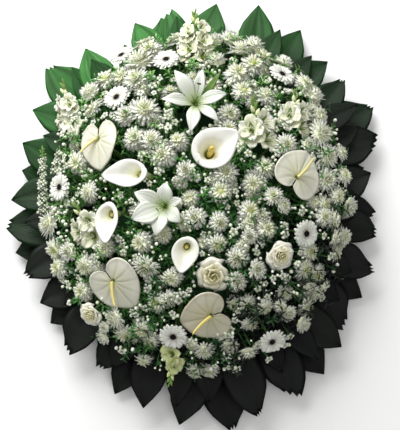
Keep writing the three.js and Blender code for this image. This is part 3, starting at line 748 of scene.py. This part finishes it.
def rolledSpathe(size, width):
    rows, cols = funnel["rows"], funnel["cols"]
    marks = np.linspace(0, 1, len(funnel["heights"]))
    grid = np.zeros((rows, cols, 3))
    for i in range(rows):
        v = (i / (rows - 1)) ** 0.9
        curves = (funnel[k] for k in ("heights", "radii", "push", "raise"))
        height, radius, push, lift = (np.interp(v, marks, curve) for curve in curves)
        lip = max(0, v - 0.8) / 0.2
        pressed = 1 - (1 - width) * min(1, max(0, (height + 96) / 60))
        for j in range(cols):
            turn = -funnel["wrap"] + 2 * funnel["wrap"] * j / (cols - 1)
            angle = radians(turn)
            tipward = cos(angle)
            point = max(0, tipward) ** 6
            spur = max(0, tipward) ** 30
            overlap = 1 - 0.05 * (turn > 150) * min(1, (turn - 150) / 30)
            r = radius * (1 + (0.3 * point + 0.18 * spur) * max(0, height + 40) / 40) * overlap
            r += lip * (3 + 2 * sin(2 * angle)) * (1 - point)
            z = height + lift * tipward - 5 * lip ** 2 * (1 - point) + 6 * point * lip ** 3
            z -= 8 * lip * max(0, -tipward) ** 4
            grid[i, j] = (r * pressed * sin(angle) * size, (r * tipward + push) * size, z * size)
    return skin(grid, funnel["thickness"])


for flower, look, place, _ in flowersOf("calla", "calla_lily", callas):
    matrix = frameOf(place, look["roll"], look["lift"]) @ turned(look["nod"], "X")
    size = look["size"]
    pieceOf(flower, "Spathe", callaSpathe, rolledSpathe(size, look["width"]), matrix, look["tint"], 1.0)
    foot = matrix @ Vector((0, 0, -60 * size))
    run = matrix @ Vector((0, look["spadixLean"], look["spadixTop"] * size)) - foot
    spadix = spadixOf(run.length, radius=7.4, taper=1.8, size=size, bluntness=7, tip=0.3, steps=24, bump=0.08)
    pieceOf(flower, "Spadix", spadixSkin, spadix, moved(foot) @ aimed(run), look["gold"])
    end = matrix @ Vector((0, 0, -94 * size))
    stalk = stem(place, [120], [below(place, 96) * 0.5 + end * 0.5, end], [4, 4, 4.4, 5.6 * size], 10)
    pieceOf(flower, "Stem", freshStem, stalk, None, 0.7)
print("anthuriums and callas done")


lilies = table(
    "clock share roll length lift cup nod broad anthers leaves stretch aims",
    (359, 0.46, 336, 94, 42, 0.6, 16, 0.88, [0], [36], [1.12, 1.0, 0.95, 0.92, 1.0, 1.06],
     [-13, 34, 99, 156, 214, 294]),
    (243, 0.235, 20, 72, 27, 0.62, 0, 1.4, [], [], [0.9, 0.72, 0.9, 1.2, 1.32, 1.24],
     [-14, 50, 116, 176, 228, 276]))
tepal = {"rows": 15, "cols": 9, "thickness": 1.1, "ridge": 2.6, "wave": 2.2, "recurve": 14,
         "shape": [(0, 0.26), (0.25, 0.66), (0.48, 0.97), (0.6, 1), (0.76, 0.78), (0.9, 0.38), (1, 0.02)]}


def lilyTepalOf(length, cup, broad, phase):
    def rowAt(t):
        opened = length * cup * sin(radians(t * 105)) * 0.72
        y = 3 + length * t * (0.55 + 0.35 * t)
        z = -38 + opened - tepal["recurve"] * max(0, t - 0.7) / 0.3 * max(0, t - 0.7)
        half = length * 0.235 * broad * np.interp(t, *zip(*tepal["shape"]))

        def pointAt(u):
            rise = 0.18 * half * abs(u) - tepal["ridge"] * exp(-abs(u) * 7) * (1 - t)
            rise += tepal["wave"] * u * u * sin(8 * t + phase + (2 if u > 0 else 0)) * t
            return u * half, y, z + rise

        return pointAt

    return sheet(tepal, rowAt)


for flower, look, place, rng in flowersOf("lily", "lily", lilies, 300):
    matrix = frameOf(place, look["roll"], look["lift"]) @ turned(look["nod"], "X")
    shape, green, dark = newShape(), newShape(), newShape()
    for i in range(6):
        narrower, lower = (0.82, -1.5) if i % 2 else (1, 0)
        part = lilyTepalOf(look["length"] * look["stretch"][i], look["cup"], look["broad"] * narrower,
                             rng.uniform(*anyTurn))
        spin(part, shape, radians(-look["aims"][i]), matrix @ raised(lower), rng.uniform(0.6, 1), 1.0)
    pieceOf(flower, "Tepals", lilyTepal, shape)
    addPart(green, stem(place, [62], onAxis(matrix, -36), [3.5, 3.5, 6]), tint=0.6)
    pistil = through(matrix, (0, 0, -36), (1, 1, -8), (2, 2, 18), (2, 2, 20))
    addPart(green, tube(pistil, [2.2, 1.6, 1.6, 3.0], 8), tint=0.95)
    for i in range(6):
        lean = towards(60 * i + 30)
        held = i in look["anthers"]  # florists pinch off most anthers so that their pollen cannot stain
        top = lean * (36 if held else 17) + up * (26 if held else 10)
        filament = through(matrix, lean * 3 - up * 34, lean * 8 - up * 10, top)
        addPart(green, tube(filament, [1.0, 0.9, 0.7]), tint=0.95)
        along = Vector((-lean.y, lean.x, 0.25)).normalized() * 6.5
        if held or i == 3:
            fat = 2.4 if held else 1.2
            anther = through(matrix, top - along, top - along * 0.6, top + along * 0.6, top + along)
            addPart(dark, tube(anther, [0.6, fat, fat, 0.6], 7), tint=rng.random())
    for clock in look["leaves"]:
        leaf = petal(112, 20, 38, 24, 6, 9, 5, tipWidth=0.05, baseWidth=0.35, widest=0.45, channel=0.3,
                     thickness=0.9)
        addPart(green, leaf, moved(below(place, 2)) @ turned(-clock, "Z"), 0.8)
    pieceOf(flower, "Greens", freshStem, green)
    pieceOf(flower, "Anthers", lilyAnther, dark)


gerberas = table("clock share", (345, 0.795), (316, 0.75), (329, 0.98), (38, 0.89), (273, 0.88), (191, 0.8),
                 (109, 0.715), (150, 0.925))
# Layers of a head: petals, length, lift, height of the root.
gerbera = {"layers": [(20, 32, 8, -1.0), (17, 28, 15, 0.6)], "width": 10.6, "eye": 7.6, "lift": 12,
           "tufts": 14}
eyeShape = [(0.7, -2), (1, 0.8), (0.94, 2.4), (0.75, 3.6), (0.5, 4.0), (0.28, 3.6), (0.1, 3.2)]


def gerberaHead(rng):
    shape = newShape()
    for layer, (count, length, lift, height) in enumerate(gerbera["layers"]):
        for i in range(count):
            part = petal(length + rng.uniform(-4.5, 1.5), gerbera["width"] + sway(rng, 0.8),
                         lift + sway(rng, 4), 16, 8, 8, 5, tipWidth=0.42, widest=0.62, channel=0.22,
                         ruffle=0.5, notch=0.8, thickness=0.7, seed=rng.random())
            angle = fullTurn * (i + 0.5 * layer + sway(rng, 0.12)) / count
            spin(part, shape, angle, raised(height), rng.random(), 1.0)
    for i in range(gerbera["tufts"]):
        part = petal(6 + sway(rng, 1), 2.4, 30, 10, 7.0, 4, 3, tipWidth=0.3, thickness=0.5)
        spin(part, shape, goldenAngle * i, raised(1.2), rng.random(), 0.2)
    return asPart(shape)


for flower, look, place, rng in flowersOf("gerbera", "gerbera", gerberas, 400):
    matrix = frameOf(place, rng.uniform(0, 360), gerbera["lift"])
    pieceOf(flower, "Petals", gerberaPetal, gerberaHead(rng), matrix)
    disc = knobbly([(gerbera["eye"] * wide, height) for wide, height in eyeShape], 22, 0.1)
    pieceOf(flower, "Eye", gerberaEye, disc, matrix, 0.25)
    stalk = stem(place, [20], onAxis(matrix, -10, -6, -1.5), [3, 3, 3.2, 8, 10.5], 10)
    pieceOf(flower, "Stem", freshStem, stalk, None, 0.6)


roses = table(
    "clock share roll size open petals tint",
    (226, 0.945, 40, 1, 1.0, 26, 0.9),
    (125, 0.635, 80, 1.05, 1.1, 26, 0.9),
    (169, 0.49, 120, 1.05, 1.35, 15, 0.5))
rose = {"rows": 9, "cols": 11, "thickness": 0.9, "height": 40}


def roseHead(look, rng):
    shape = newShape()
    for k in range(look["petals"]):
        age = k / (look["petals"] - 1)  # 0 in the heart, 1 at the outside
        spread = radians(62 - 16 * age)
        top = rose["height"] * (0.98 - 0.34 * age)
        mouth = (3.5 + 27 * age ** 1.15) * look["open"]

        def rowAt(v):
            bulge = (3 + 13 * age) * sin(min(1, v * 1.25) * pi / 2)
            roll = max(0, v - 0.72) / 0.28
            radius = bulge + (mouth - bulge) * v ** 1.7 + 5.5 * age * roll ** 2
            height = -24 + top * v - (9 * age) * roll ** 2

            def pointAt(u):
                drop = 6 * abs(u) ** 3 * v + 2.2 * (1 - abs(u)) ** 6 * v ** 3 * -1
                angle = u * spread * (0.75 + 0.25 * v)
                r = radius * (1 + 0.05 * sin(6 * u + k)) + 1.2 * u * (1 - age)
                return r * sin(angle), r * cos(angle), height - drop

            return pointAt

        part = sheet(rose, rowAt, look["size"])
        spin(part, shape, goldenAngle * k, None, min(1, max(0, look["tint"] + sway(rng, 0.2))), age)
    return asPart(shape)


for flower, look, place, rng in flowersOf("rose", "rose", roses, 500):
    matrix = frameOf(place, look["roll"], 12)
    pieceOf(flower, "Petals", rosePetal, roseHead(look, rng), matrix)
    shape = newShape()
    addPart(shape, stem(place, [26], onAxis(matrix, -28, -22), [3, 3, 5, 9]), tint=0.5)
    for i in range(5):
        sepal = petal(22, 6, 5, 40, 6, 6, 3, tipWidth=0.08, widest=0.3, thickness=0.8)
        spin(sepal, shape, fullTurn * i / 5, matrix @ raised(-22), 0.6)
    pieceOf(flower, "Stem", freshStem, shape)
print("lilies, gerberas and roses done")


gladioli = table(
    "clock share roll climb florets step size tint paired",
    (359.5, 0.83, 357, -6, 4, 25, 1, 0.7, True),
    (298, 1, 350, 4, 3, 27, 0.95, 0.95, True),
    (250, 0.76, 336, 18, 2, 28, 1, 0.8, True),
    (54, 0.5, 352, 12, 2, 28, 1.1, 0.85, True),
    (190, 0.925, 187, -16, 2, 26, 0.85, 0.0, False),
    (58, 0.76, 4, 4, 2, 28, 1, 0.95, True))
floret = {"petal": 43, "width": 32, "ruffle": 4.2, "aside": 13, "buds": 5}
bract = petal(34, 13, 78, 8, 3.5, 6, 5, tipWidth=0.1, baseWidth=0.6, widest=0.35, channel=0.5, thickness=0.9)


def gladiolusFloret(rng, opened):
    shape = newShape()
    for i in range(6):
        outer = i % 2
        part = petal(floret["petal"] * (0.94 if outer else 1), floret["width"] * (0.86 if outer else 1),
                     76 - 12 * opened, 66 * opened - 4, 1.5, 9, 7, tipWidth=0.3, baseWidth=0.22, widest=0.66,
                     channel=0.3, ruffle=floret["ruffle"], waves=4, thickness=0.8, seed=rng.random())
        angle = radians(60 * i + sway(rng, 6))
        spin(part, shape, angle, raised(-0.8 * outer), None, 0.4 + 0.6 * outer)
    return asPart(shape)


for flower, look, place, rng in flowersOf("gladiolus", "gladiolus", gladioli, 600):
    climb = radians(look["climb"])
    way = towards(look["roll"]) * cos(climb) + up * sin(climb)
    opening = (place["facing"] - way * place["facing"].dot(way)).normalized()
    matrix = axesOf(way.cross(opening), way, opening, below(place, 16))
    size, step, florets = look["size"], look["step"], look["florets"]
    white, green = newShape(), newShape()
    spike = (florets + 1.2) * step * size
    spine = [matrix.translation, *through(matrix, (0, spike * 0.5, -1), (0, spike, 0))]
    addPart(green, stem(place, [50], spine, [3.4, 3.4, 3.4, 3.0, 1.8]), tint=0.7)
    seats = [(i, 1 if i % 2 == 0 else -1, 0) for i in range(florets)]
    if look["paired"]:  # wide spikes open a second floret beside each
        seats += [(i + 0.45, -side, -4) for i, side, _ in seats]
    for i, side, low in seats:
        aside = moved((side * floret["aside"] * look["paired"], i * step * size, low))
        splay = tipped(radians(-10), radians(side * 26), 0)
        seat = matrix @ aside @ splay @ scaled(size * (1 - 0.07 * i))
        addPart(white, gladiolusFloret(rng, 1.0 - 0.12 * i), seat, look["tint"] * rng.uniform(0.8, 1.1))
        for half in (0, pi):
            spin(bract, green, half, seat @ raised(-3), 0.85)
        for s in range(3):
            lean = Vector((sin(2.1 * s) * 4, cos(2.1 * s) * 4, 30))
            stamen = through(seat, (0, 0, 4), lean * 0.6, lean)
            addPart(white, tube(stamen, [0.7, 0.6, 1.1], 5), tint=0.5)
    for i in range(floret["buds"]):
        side = 1 if i % 2 == 0 else -1
        foot = matrix @ Vector((0, (florets - 0.1 + i * 0.36) * step * size, 0))
        lean = (matrix.to_3x3() @ Vector((side * (9 - i), 20 - i, 9))) * size
        fat = (6.0 - 0.8 * i) * size
        bud = tube([foot + lean * far for far in (0, 0.35, 0.8, 1.15)], [2.2, fat, fat * 0.9, 0.8], 8)
        addPart(white if i < 2 else green, bud, tint=look["tint"] * 0.4 if i < 2 else 0.9)
        sheath = tube([foot + lean * far for far in (0, 0.3, 0.62)], [2.6, fat * 1.08, fat * 0.86], 8)
        addPart(green, sheath, tint=0.9)
    pieceOf(flower, "Florets", gladiolusPetal, white)
    pieceOf(flower, "Spike", freshStem, green)


stocks = table("clock share length radius roll", (266, 1.03, 184, 15, 358), (279, 0.96, 74, 12, 8))


def smallFloret(count, length, width, lift, curl, rng):
    shape = newShape()
    for i in range(count):
        part = petal(length, width, lift + sway(rng, 6), curl, 0.9, 4, 3, tipWidth=0.45, baseWidth=0.4,
                     widest=0.6, channel=0.2, thickness=0.5)
        spin(part, shape, fullTurn * (i + sway(rng, 0.1)) / count, None, rng.random(), 1.0)
    throat = tube([(0, 0, -2.5), (0, 0, -1), (0, 0, 1.2), (0, 0, 1.8)], [0.8, 1.9, 1.6, 0.5])
    addPart(shape, throat, ring=0.0, along=0.0)
    return asPart(shape)


for flower, look, place, rng in flowersOf("stock", "stock_spike", stocks, 700):
    long, foot = look["length"], below(place, 4)
    way = (towards(look["roll"]) + up * 0.06).normalized()
    turn = aimed(way).to_3x3()
    white, green = newShape(), newShape()
    addPart(green, stem(place, [30], [foot, foot + way * long], [3, 3, 3, 1.4]), tint=0.7)
    count = int(long / 3.4)
    for i in range(count):
        t = i / (count - 1)
        angle = goldenAngle * i
        out = Vector((cos(angle), sin(angle), 0.35))
        size = (1.0 - 0.5 * t ** 2) * rng.uniform(0.8, 1.3)
        radius = look["radius"] * size * 0.62
        root = foot + way * (t * long * 0.97)
        at = root + turn @ (Vector((out.x, out.y, 0)) * radius)
        at += Vector([sway(rng, 2.5) for _ in range(3)])
        facing = (turn @ out + Vector([sway(rng, 0.4) for _ in range(3)])).normalized()
        seat = moved(at) @ aimed(facing) @ scaled(size)
        if t < 0.86:
            addPart(white, smallFloret(4, 8.2, 7.0, 22, 20, rng), seat)
        else:
            addPart(green, tube(onAxis(seat, -5, 0, 4), [1.2, 2.6, 0.6]), tint=1.0)
        addPart(green, tube([root, at], [0.9, 0.7], 5), tint=0.8)
    pieceOf(flower, "Florets", smallPetal, white)
    pieceOf(flower, "Stem", freshStem, green)
print("gladioli and stocks done")


# A long flower holds room on the dome all along its way.
def alongSpike(look, length, step, radius):
    spots, along = [], 0
    clock, roll = radians(look["clock"]), radians(look["roll"])
    while along < length:
        x = bloom["halfWidth"] * look["share"] * sin(clock) + along * sin(roll)
        y = bloom["halfHeight"] * look["share"] * cos(clock) + along * cos(roll)
        a, b = x / bloom["halfWidth"], y / bloom["halfHeight"]
        spots.append((placeOn(degrees(atan2(a, b)), min(1.1, hypot(a, b))), radius))
        along += step
    return spots


taken = []  # what holds room on the dome: its place and its radius
for look in anthuriums:
    taken += alongSpike(look, 40, 24, 54)
for look in callas:
    taken += alongSpike(look, 22, 20, 43 * look["size"])
taken += [(placeOf(look), look["length"] * 0.6) for look in lilies]
taken += [(placeOf(look), 39) for look in gerberas]
taken += [(placeOf(look), 36 * look["size"]) for look in roses]
for look in gladioli:
    taken += alongSpike(look, look["florets"] * look["step"] * look["size"], 27, 33 * look["size"])
for look in stocks:
    taken += alongSpike(look, look["length"], 24, look["radius"] + 3)

# Round the large flowers, where the greenery stays low enough to pass under their petals.
shelter = [(spot, radius * 1.25) for spot, radius in taken]
shelter += [(placeOf(look), look["length"] * 1.25) for look in lilies]


# The sprays are dealt over the dome, clear of the flowers above, as the solids are.
def dealPlaces(radius, gap, tries):
    kept = []
    for n in range(1, tries + 2):
        share = sqrt((0.5 + n * 0.7548776662466927) % 1)
        clock = 360 * ((0.5 + n * 0.5698402909980532) % 1)
        place = placeOn(clock, share)
        if all(nearness(spot, place) > other + radius + gap for spot, other in taken):
            kept.append(place)
            taken.append((place, radius))
    return kept


mum = {"radius": 25.5, "gap": 1.5, "neck": 6, "elbow": 46, "fork": 108, "forkStep": 9, "twig": 2}
# Layers of a head, outside in: petals, length, width, lift, curl, height of the root.
mumForms = [
    [(17, 30, 10.8, 0, 24, -3), (16, 28, 10.2, 15, 22, -1), (14, 24, 9.4, 32, 16, 1), (11, 18, 8.0, 50, 6, 3),
     (7, 11, 6.4, 68, -12, 4)],
    [(18, 31, 9.6, -4, 20, -2), (17, 28, 9.4, 12, 16, 0), (13, 21, 8.6, 30, 8, 2)],
    [(20, 33, 8.0, 4, 6, -3), (18, 30, 7.8, 22, 2, -1), (15, 25, 7.2, 42, -10, 1), (11, 17, 6.2, 60, -20, 3)],
    [(16, 26, 10.4, 24, 6, -4), (14, 24, 9.8, 42, -2, -2), (12, 20, 8.6, 58, -10, 0), (8, 13, 7, 74, -18, 2)],
    [(17, 32, 10.2, -14, 30, -2), (17, 29, 9.8, 5, 28, 0), (15, 25, 9.2, 23, 20, 2), (11, 18, 8.0, 44, 8, 4)],
]
mumCushion = [(7, -9), (17, -6), (20, -2.5), (17, 1), (10, 4), (3, 5)]
mumSpread = {"sizes": (0.96, 1.2), "nod": 22, "outward": 16, "shift": 5, "drift": 24, "sideBloom": 0.75,
             "sideSizes": (0.6, 0.95)}


def acrossAndUp(place):
    return place["at"].x / bloom["halfWidth"], place["at"].y / bloom["halfHeight"]


# Greenery is painted lighter towards the head of the wreath, as painted light, and darker towards its foot
# and its lower right, as painted shade; each sprig also differs at random.
def freshness(place, rng):
    x, y = acrossAndUp(place)
    paintedShade = 0.8 * max(0, x) * max(0, -y)
    return min(1, max(0, 0.56 + 0.36 * y - 0.2 * x - paintedShade + sway(rng, 0.3) * (1 + 0.3 * y)))


# Heads are fullest in the light at the wreath's head, and stay small and low under a lily's petals.
def headRoom(place):
    x, y = acrossAndUp(place)
    under = any(nearness(placeOf(look), place) < look["length"] * 1.1 + 8 for look in lilies)
    return (1 + 0.17 * y - 0.06 * x) * (0.8 if under else 1)


def mumHead(form, rng):
    shape = newShape()
    layers = mumForms[form]
    for depth, (count, length, width, lift, curl, height) in enumerate(layers):
        for i in range(count):
            part = petal(length * rng.uniform(0.84, 1.06), width * rng.uniform(0.92, 1.2),
                         lift + sway(rng, 6), curl + sway(rng, 9), 3.4 - 0.4 * depth, 4, 3,
                         tipWidth=0.46, baseWidth=0.6, widest=0.62, channel=0.1)
            angle = fullTurn * (i + 0.5 * (depth % 2) + sway(rng, 0.25)) / count
            spin(part, shape, angle, raised(height), rng.random(), 1 - depth / max(3, len(layers)))
    # the crowded small florets under the petals
    addPart(shape, knobbly(mumCushion, 18, 0.14), None, 0.6, 0.7, 0.4)
    return asPart(shape)


mumRng = random.Random(800)
mumTemplates = [(form, mumHead(form, mumRng)) for form in range(len(mumForms)) for _ in range(2)]
mumHeartPart = knobbly([(5.0, -3), (6.4, 0.5), (6.0, 2.6), (4.4, 4.2), (2.2, 5.0), (0.5, 5.1)], 14, 0.09)
mumCup = knobbly([(1.6, -14), (6, -9), (8, -4), (7, -2)], 10, 0.05)
leaflet = petal(26, 13, 18, 30, 2, 6, 5, tipWidth=0.12, baseWidth=0.25, widest=0.5, channel=0.2, ruffle=1.0,
                waves=5, thickness=0.6)

sprayPlaces = [placeOn(clock, 0.84) for clock in (8, 48, 88, 128, 168, 208, 248, 290, 330)]
sprayPlaces += [placeOn(clock, 0.46) for clock in (36, 108, 180, 236, 316)]
mums = dealPlaces(mum["radius"], mum["gap"], 6000)
leads = [min(mums, key=lambda place: nearness(place, spot)) for spot in sprayPlaces]


# The twig of a side stem, from its neck down to where it meets the lead stem.
def addTwig(green, place, lead, look, i, sides):
    meeting = below(lead, look["fork"] + look["forkStep"] * (i % 5))
    twig = tube([below(place, look["neck"]), below(place, look["elbow"]), meeting], [look["twig"]] * 3, sides)
    addPart(green, twig, tint=0.5)


for flower, lead, _, rng in flowersOf("chrysanthemum", "chrysanthemum_spray", leads, 820, 2):
    group = [p for p in mums if min(leads, key=lambda other: nearness(other, p)) is lead]
    white, hearts, green = newShape(), newShape(), newShape()
    addPart(green, stem(lead, [mum["neck"]], [], [3, 2.8], 7), tint=0.45)
    for i, place in enumerate(group):
        form, template = mumTemplates[rng.randrange(len(mumTemplates))]
        size = rng.uniform(*mumSpread["sizes"]) * (1 + 0.25 * noise.noise(place["at"] / 75)) * headRoom(place)
        tips = [radians(sway(rng, mumSpread["nod"])) for _ in range(2)]
        nod = tipped(*tips, rng.uniform(*anyTurn))
        gather = noise.noise_vector(place["at"] / 60) * mumSpread["drift"]  # heads of one stem bunch together
        shift = [sway(rng, mumSpread["shift"]) for _ in range(2)]
        shift = Vector((*shift, rng.uniform(-4, 8))) + Vector((gather.x, gather.y, 0))
        low = max(0, -cos(radians(place["clock"] + 20)))  # those at the foot hang their heads further
        outward = turned(-mumSpread["outward"] * (1 + low) * place["share"] ** 2, "X")
        shift.z -= 14 * (headRoom(place) < 0.9)
        seat = frameOf(place, place["clock"]) @ outward
        matrix = seat @ moved(shift) @ nod @ scaled(size)
        addPart(white, template, matrix)
        # a half-open bloom lower on the same stem
        if rng.random() < mumSpread["sideBloom"] * headRoom(place) ** 2:
            away = rng.uniform(0, fullTurn)
            side = Vector((cos(away), sin(away), 0))
            aside = moved(shift + side * 32 + up * -13)
            smaller = scaled(rng.uniform(*mumSpread["sideSizes"]))
            bloomlet = seat @ aside @ aimed((side * 0.8 + up).normalized()) @ smaller
            addPart(white, mumTemplates[rng.randrange(len(mumTemplates))][1], bloomlet)
            twig = tube([below(place, 50), *onAxis(bloomlet, -22, -6)], [1.6, 1.5, 3.6])
            addPart(green, twig, tint=0.5)
        addPart(hearts, mumHeartPart, matrix @ raised(2 if form == 1 else -1), rng.random())
        if place is not lead:
            addTwig(green, place, lead, mum, i, 6)
        addPart(green, mumCup, matrix, 0.6)
        for k in range(3):
            node = moved(below(place, 20 + 12 * k)) @ matrix.to_3x3().normalized().to_4x4()
            spin(leaflet, green, goldenAngle * (k + i), node, freshness(place, rng) * 0.8)
    pieceOf(flower, "Heads", chrysanthemumPetal, white)
    pieceOf(flower, "Hearts", mumHeart, hearts)
    pieceOf(flower, "Stems", freshStem, green)
print(len(mums), "chrysanthemum heads done")


wax = {"radius": 8, "gap": 2, "neck": 2, "elbow": 30, "fork": 90, "forkStep": 9, "twig": 1.5, "heads": 6,
       "forms": 4, "needles": 9}
waxPlaces = dealPlaces(wax["radius"], wax["gap"], 4000)
waxRng = random.Random(900)
waxBlooms = [smallFloret(5, 9.4, 8.8, 14, 18, waxRng) for _ in range(wax["forms"])]
waxBud = tube([(0, 0, -3), (0, 0, -1), (0, 0, 2), (0, 0, 3.4)], [0.8, 2.6, 2.5, 0.8], 7)
needle = petal(17, 2.2, 34, -10, 0.5, 4, 3, tipWidth=0.12, baseWidth=0.6, widest=0.4, channel=0.2,
               thickness=0.7)


def waxTuft(white, green, place, rng, blooms=True):
    matrix = frameOf(place, rng.uniform(0, 360), rng.uniform(-6, 8)) @ moved(
        (sway(rng, 6), sway(rng, 6), 0))
    stalk = tube([below(place, 46), below(place, 12), *onAxis(matrix, -2)], [1.2, 1.1, 0.9], 5)
    addPart(green, stalk, tint=0.6)
    if blooms:
        bloomed = waxBlooms[rng.randrange(wax["forms"])]
        addPart(white, bloomed, matrix @ scaled(rng.uniform(0.8, 1.2)), rng.random(), 1.0)
    for _ in range(rng.choice((1, 2, 3, 4))):
        angle = rng.uniform(*anyTurn)
        out = Vector((cos(angle), sin(angle), 0)) * rng.uniform(8, 19) + up * rng.uniform(-8, 4)
        addPart(green, tube(through(matrix, (0, 0, -14), out - up * 2), [0.8, 0.7], 5), tint=0.7)
        seat = matrix @ moved(out) @ scaled(rng.uniform(1.0, 1.9))
        addPart(white, waxBud, seat, rng.random(), 0.8)
    for k in range(wax["needles"]):
        seat = matrix @ raised(-6 - 4.5 * k)
        spin(needle, green, goldenAngle * k + rng.random(), seat, freshness(place, rng))


sprays = table("clock share", (324, 0.74), (144, 0.66))
for flower, _, spot, rng in flowersOf("waxflower", "waxflower_sprig", sprays, 910):
    group = sorted(waxPlaces, key=lambda p: nearness(p, spot))[:wax["heads"]]
    white, green = newShape(), newShape()
    addPart(green, stem(group[0], [wax["neck"]], [], [2.5, 2.2], 6), tint=0.5)
    for i, place in enumerate(group):
        waxTuft(white, green, place, rng)
        if i:
            addTwig(green, place, group[0], wax, i, 5)
        waxPlaces.remove(place)
    pieceOf(flower, "Blooms", smallPetal, white)
    pieceOf(flower, "Greens", fillerLeaf, green)

sectors, sectorWidth = 8, 45  # the filler comes in slices of the dome
for sector in range(sectors):
    rng = random.Random(930 + sector)
    white, green = newShape(), newShape()
    for place in (p for p in waxPlaces if int(p["clock"] // sectorWidth) == sector):
        drift = noise.noise(place["at"] / 60)  # sprigs flower in drifts, and are only green between them
        waxTuft(white, green, place, rng, drift > -0.05)
    makePiece(f"waxflowerFillerBlooms_{sector + 1}", white, smallPetal, "waxflower")
    makePiece(f"waxflowerFillerGreens_{sector + 1}", green, fillerLeaf, "waxflower")

# Small-leaved greenery packs the room under the heads.
filler = {"sprigs": 1040, "forms": 6, "leaves": 9, "depth": (-4, 52), "under": (42, 66), "clear": 0.55}


def fillerSprig(rng):
    shape = newShape()
    addPart(shape, tube([(0, 0, -30), (1, 0, 0), (0, 1, 26)], [1.2, 1.0, 0.5], 4), tint=0.4)
    for k in range(filler["leaves"]):
        size = rng.uniform(0.8, 1.25)
        blade = petal(18 * size, 5.4 * size, 34, 25, 0.5, 4, 3, baseWidth=0.3, widest=0.45, channel=0.2,
                      thickness=0.6)
        spin(blade, shape, goldenAngle * k, raised(-20 + 5.4 * k), rng.random())
    return asPart(shape)


fillerRng = random.Random(960)
sprigs = [fillerSprig(fillerRng) for _ in range(filler["forms"])]
perSector = filler["sprigs"] // sectors
for sector in range(sectors):
    rng = random.Random(970 + sector)
    green = newShape()
    for n in range(perSector):
        place = placeOn(sectorWidth * (sector + rng.random()), sqrt((n + 0.5) / perSector))
        crowding = min(nearness(spot, place) / radius for spot, radius in shelter)
        if crowding < filler["clear"]:
            continue
        deep = dict(place, at=below(place, rng.uniform(*filler["under" if crowding < 1 else "depth"])))
        tilt = tipped(sway(rng, 0.6), sway(rng, 0.6), rng.uniform(*anyTurn))
        addPart(green, sprigs[rng.randrange(filler["forms"])], frameOf(deep) @ tilt, freshness(place, rng))
    makePiece(f"fillerFoliage_{sector + 1}", green, fillerLeaf, "leaf")
print("filler done")


scene = bpy.context.scene
bpy.ops.mesh.primitive_plane_add(size=30, location=(0, 0, -0.0005))
floor = bpy.context.object
floor.name = "paleFloor"
card = blankMaterial("mattWhiteCard", {"Base Color": fromHex("#fbfbfa"), "Roughness": 0.9})[0]
floor.data.materials.append(card)
floor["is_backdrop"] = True

lights = table(
    "name at size power",
    ("keyLight", (-1.0, 2.0, 1.75), 2.2, 112),
    ("frontFill", (0.5, -1.2, 4.4), 3.0, 40))
for look in lights:
    lamp = bpy.data.lights.new(look["name"], "AREA")
    lamp.size = look["size"]
    lamp.energy = look["power"]
    holder = placedIn(scene, look["name"], lamp)
    holder.location = look["at"]
    holder.rotation_euler = (Vector((0, 0, 0.1)) - Vector(look["at"])).to_track_quat("-Z", "Y").to_euler()

world = bpy.data.worlds.new("studio")
scene.world = world
world.use_nodes = True
world.node_tree.nodes["Background"].inputs["Color"].default_value = (1, 1, 1, 1)
world.node_tree.nodes["Background"].inputs["Strength"].default_value = 0.4
scene.view_settings.view_transform = "Standard"
scene.view_settings.look = "None"

camera = {"elevation": 76.8, "distance": 3.5, "tall": 1.152, "target": (0.0056, -0.0382, 0.1)}
lens = bpy.data.cameras.new("camera")
lens.sensor_width = 36
lens.lens = lens.sensor_width * camera["distance"] / camera["tall"]
eye = placedIn(scene, "camera", lens)
angle = radians(camera["elevation"])
back = Vector((0, -cos(angle), sin(angle)))
eye.location = Vector(camera["target"]) + back * camera["distance"]
eye.rotation_euler = (-back).to_track_quat("-Z", "Y").to_euler()
scene.camera = eye

low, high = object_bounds()
{"cad": [list(cadLow), list(cadHigh)], "visual": [list(low), list(high)]}
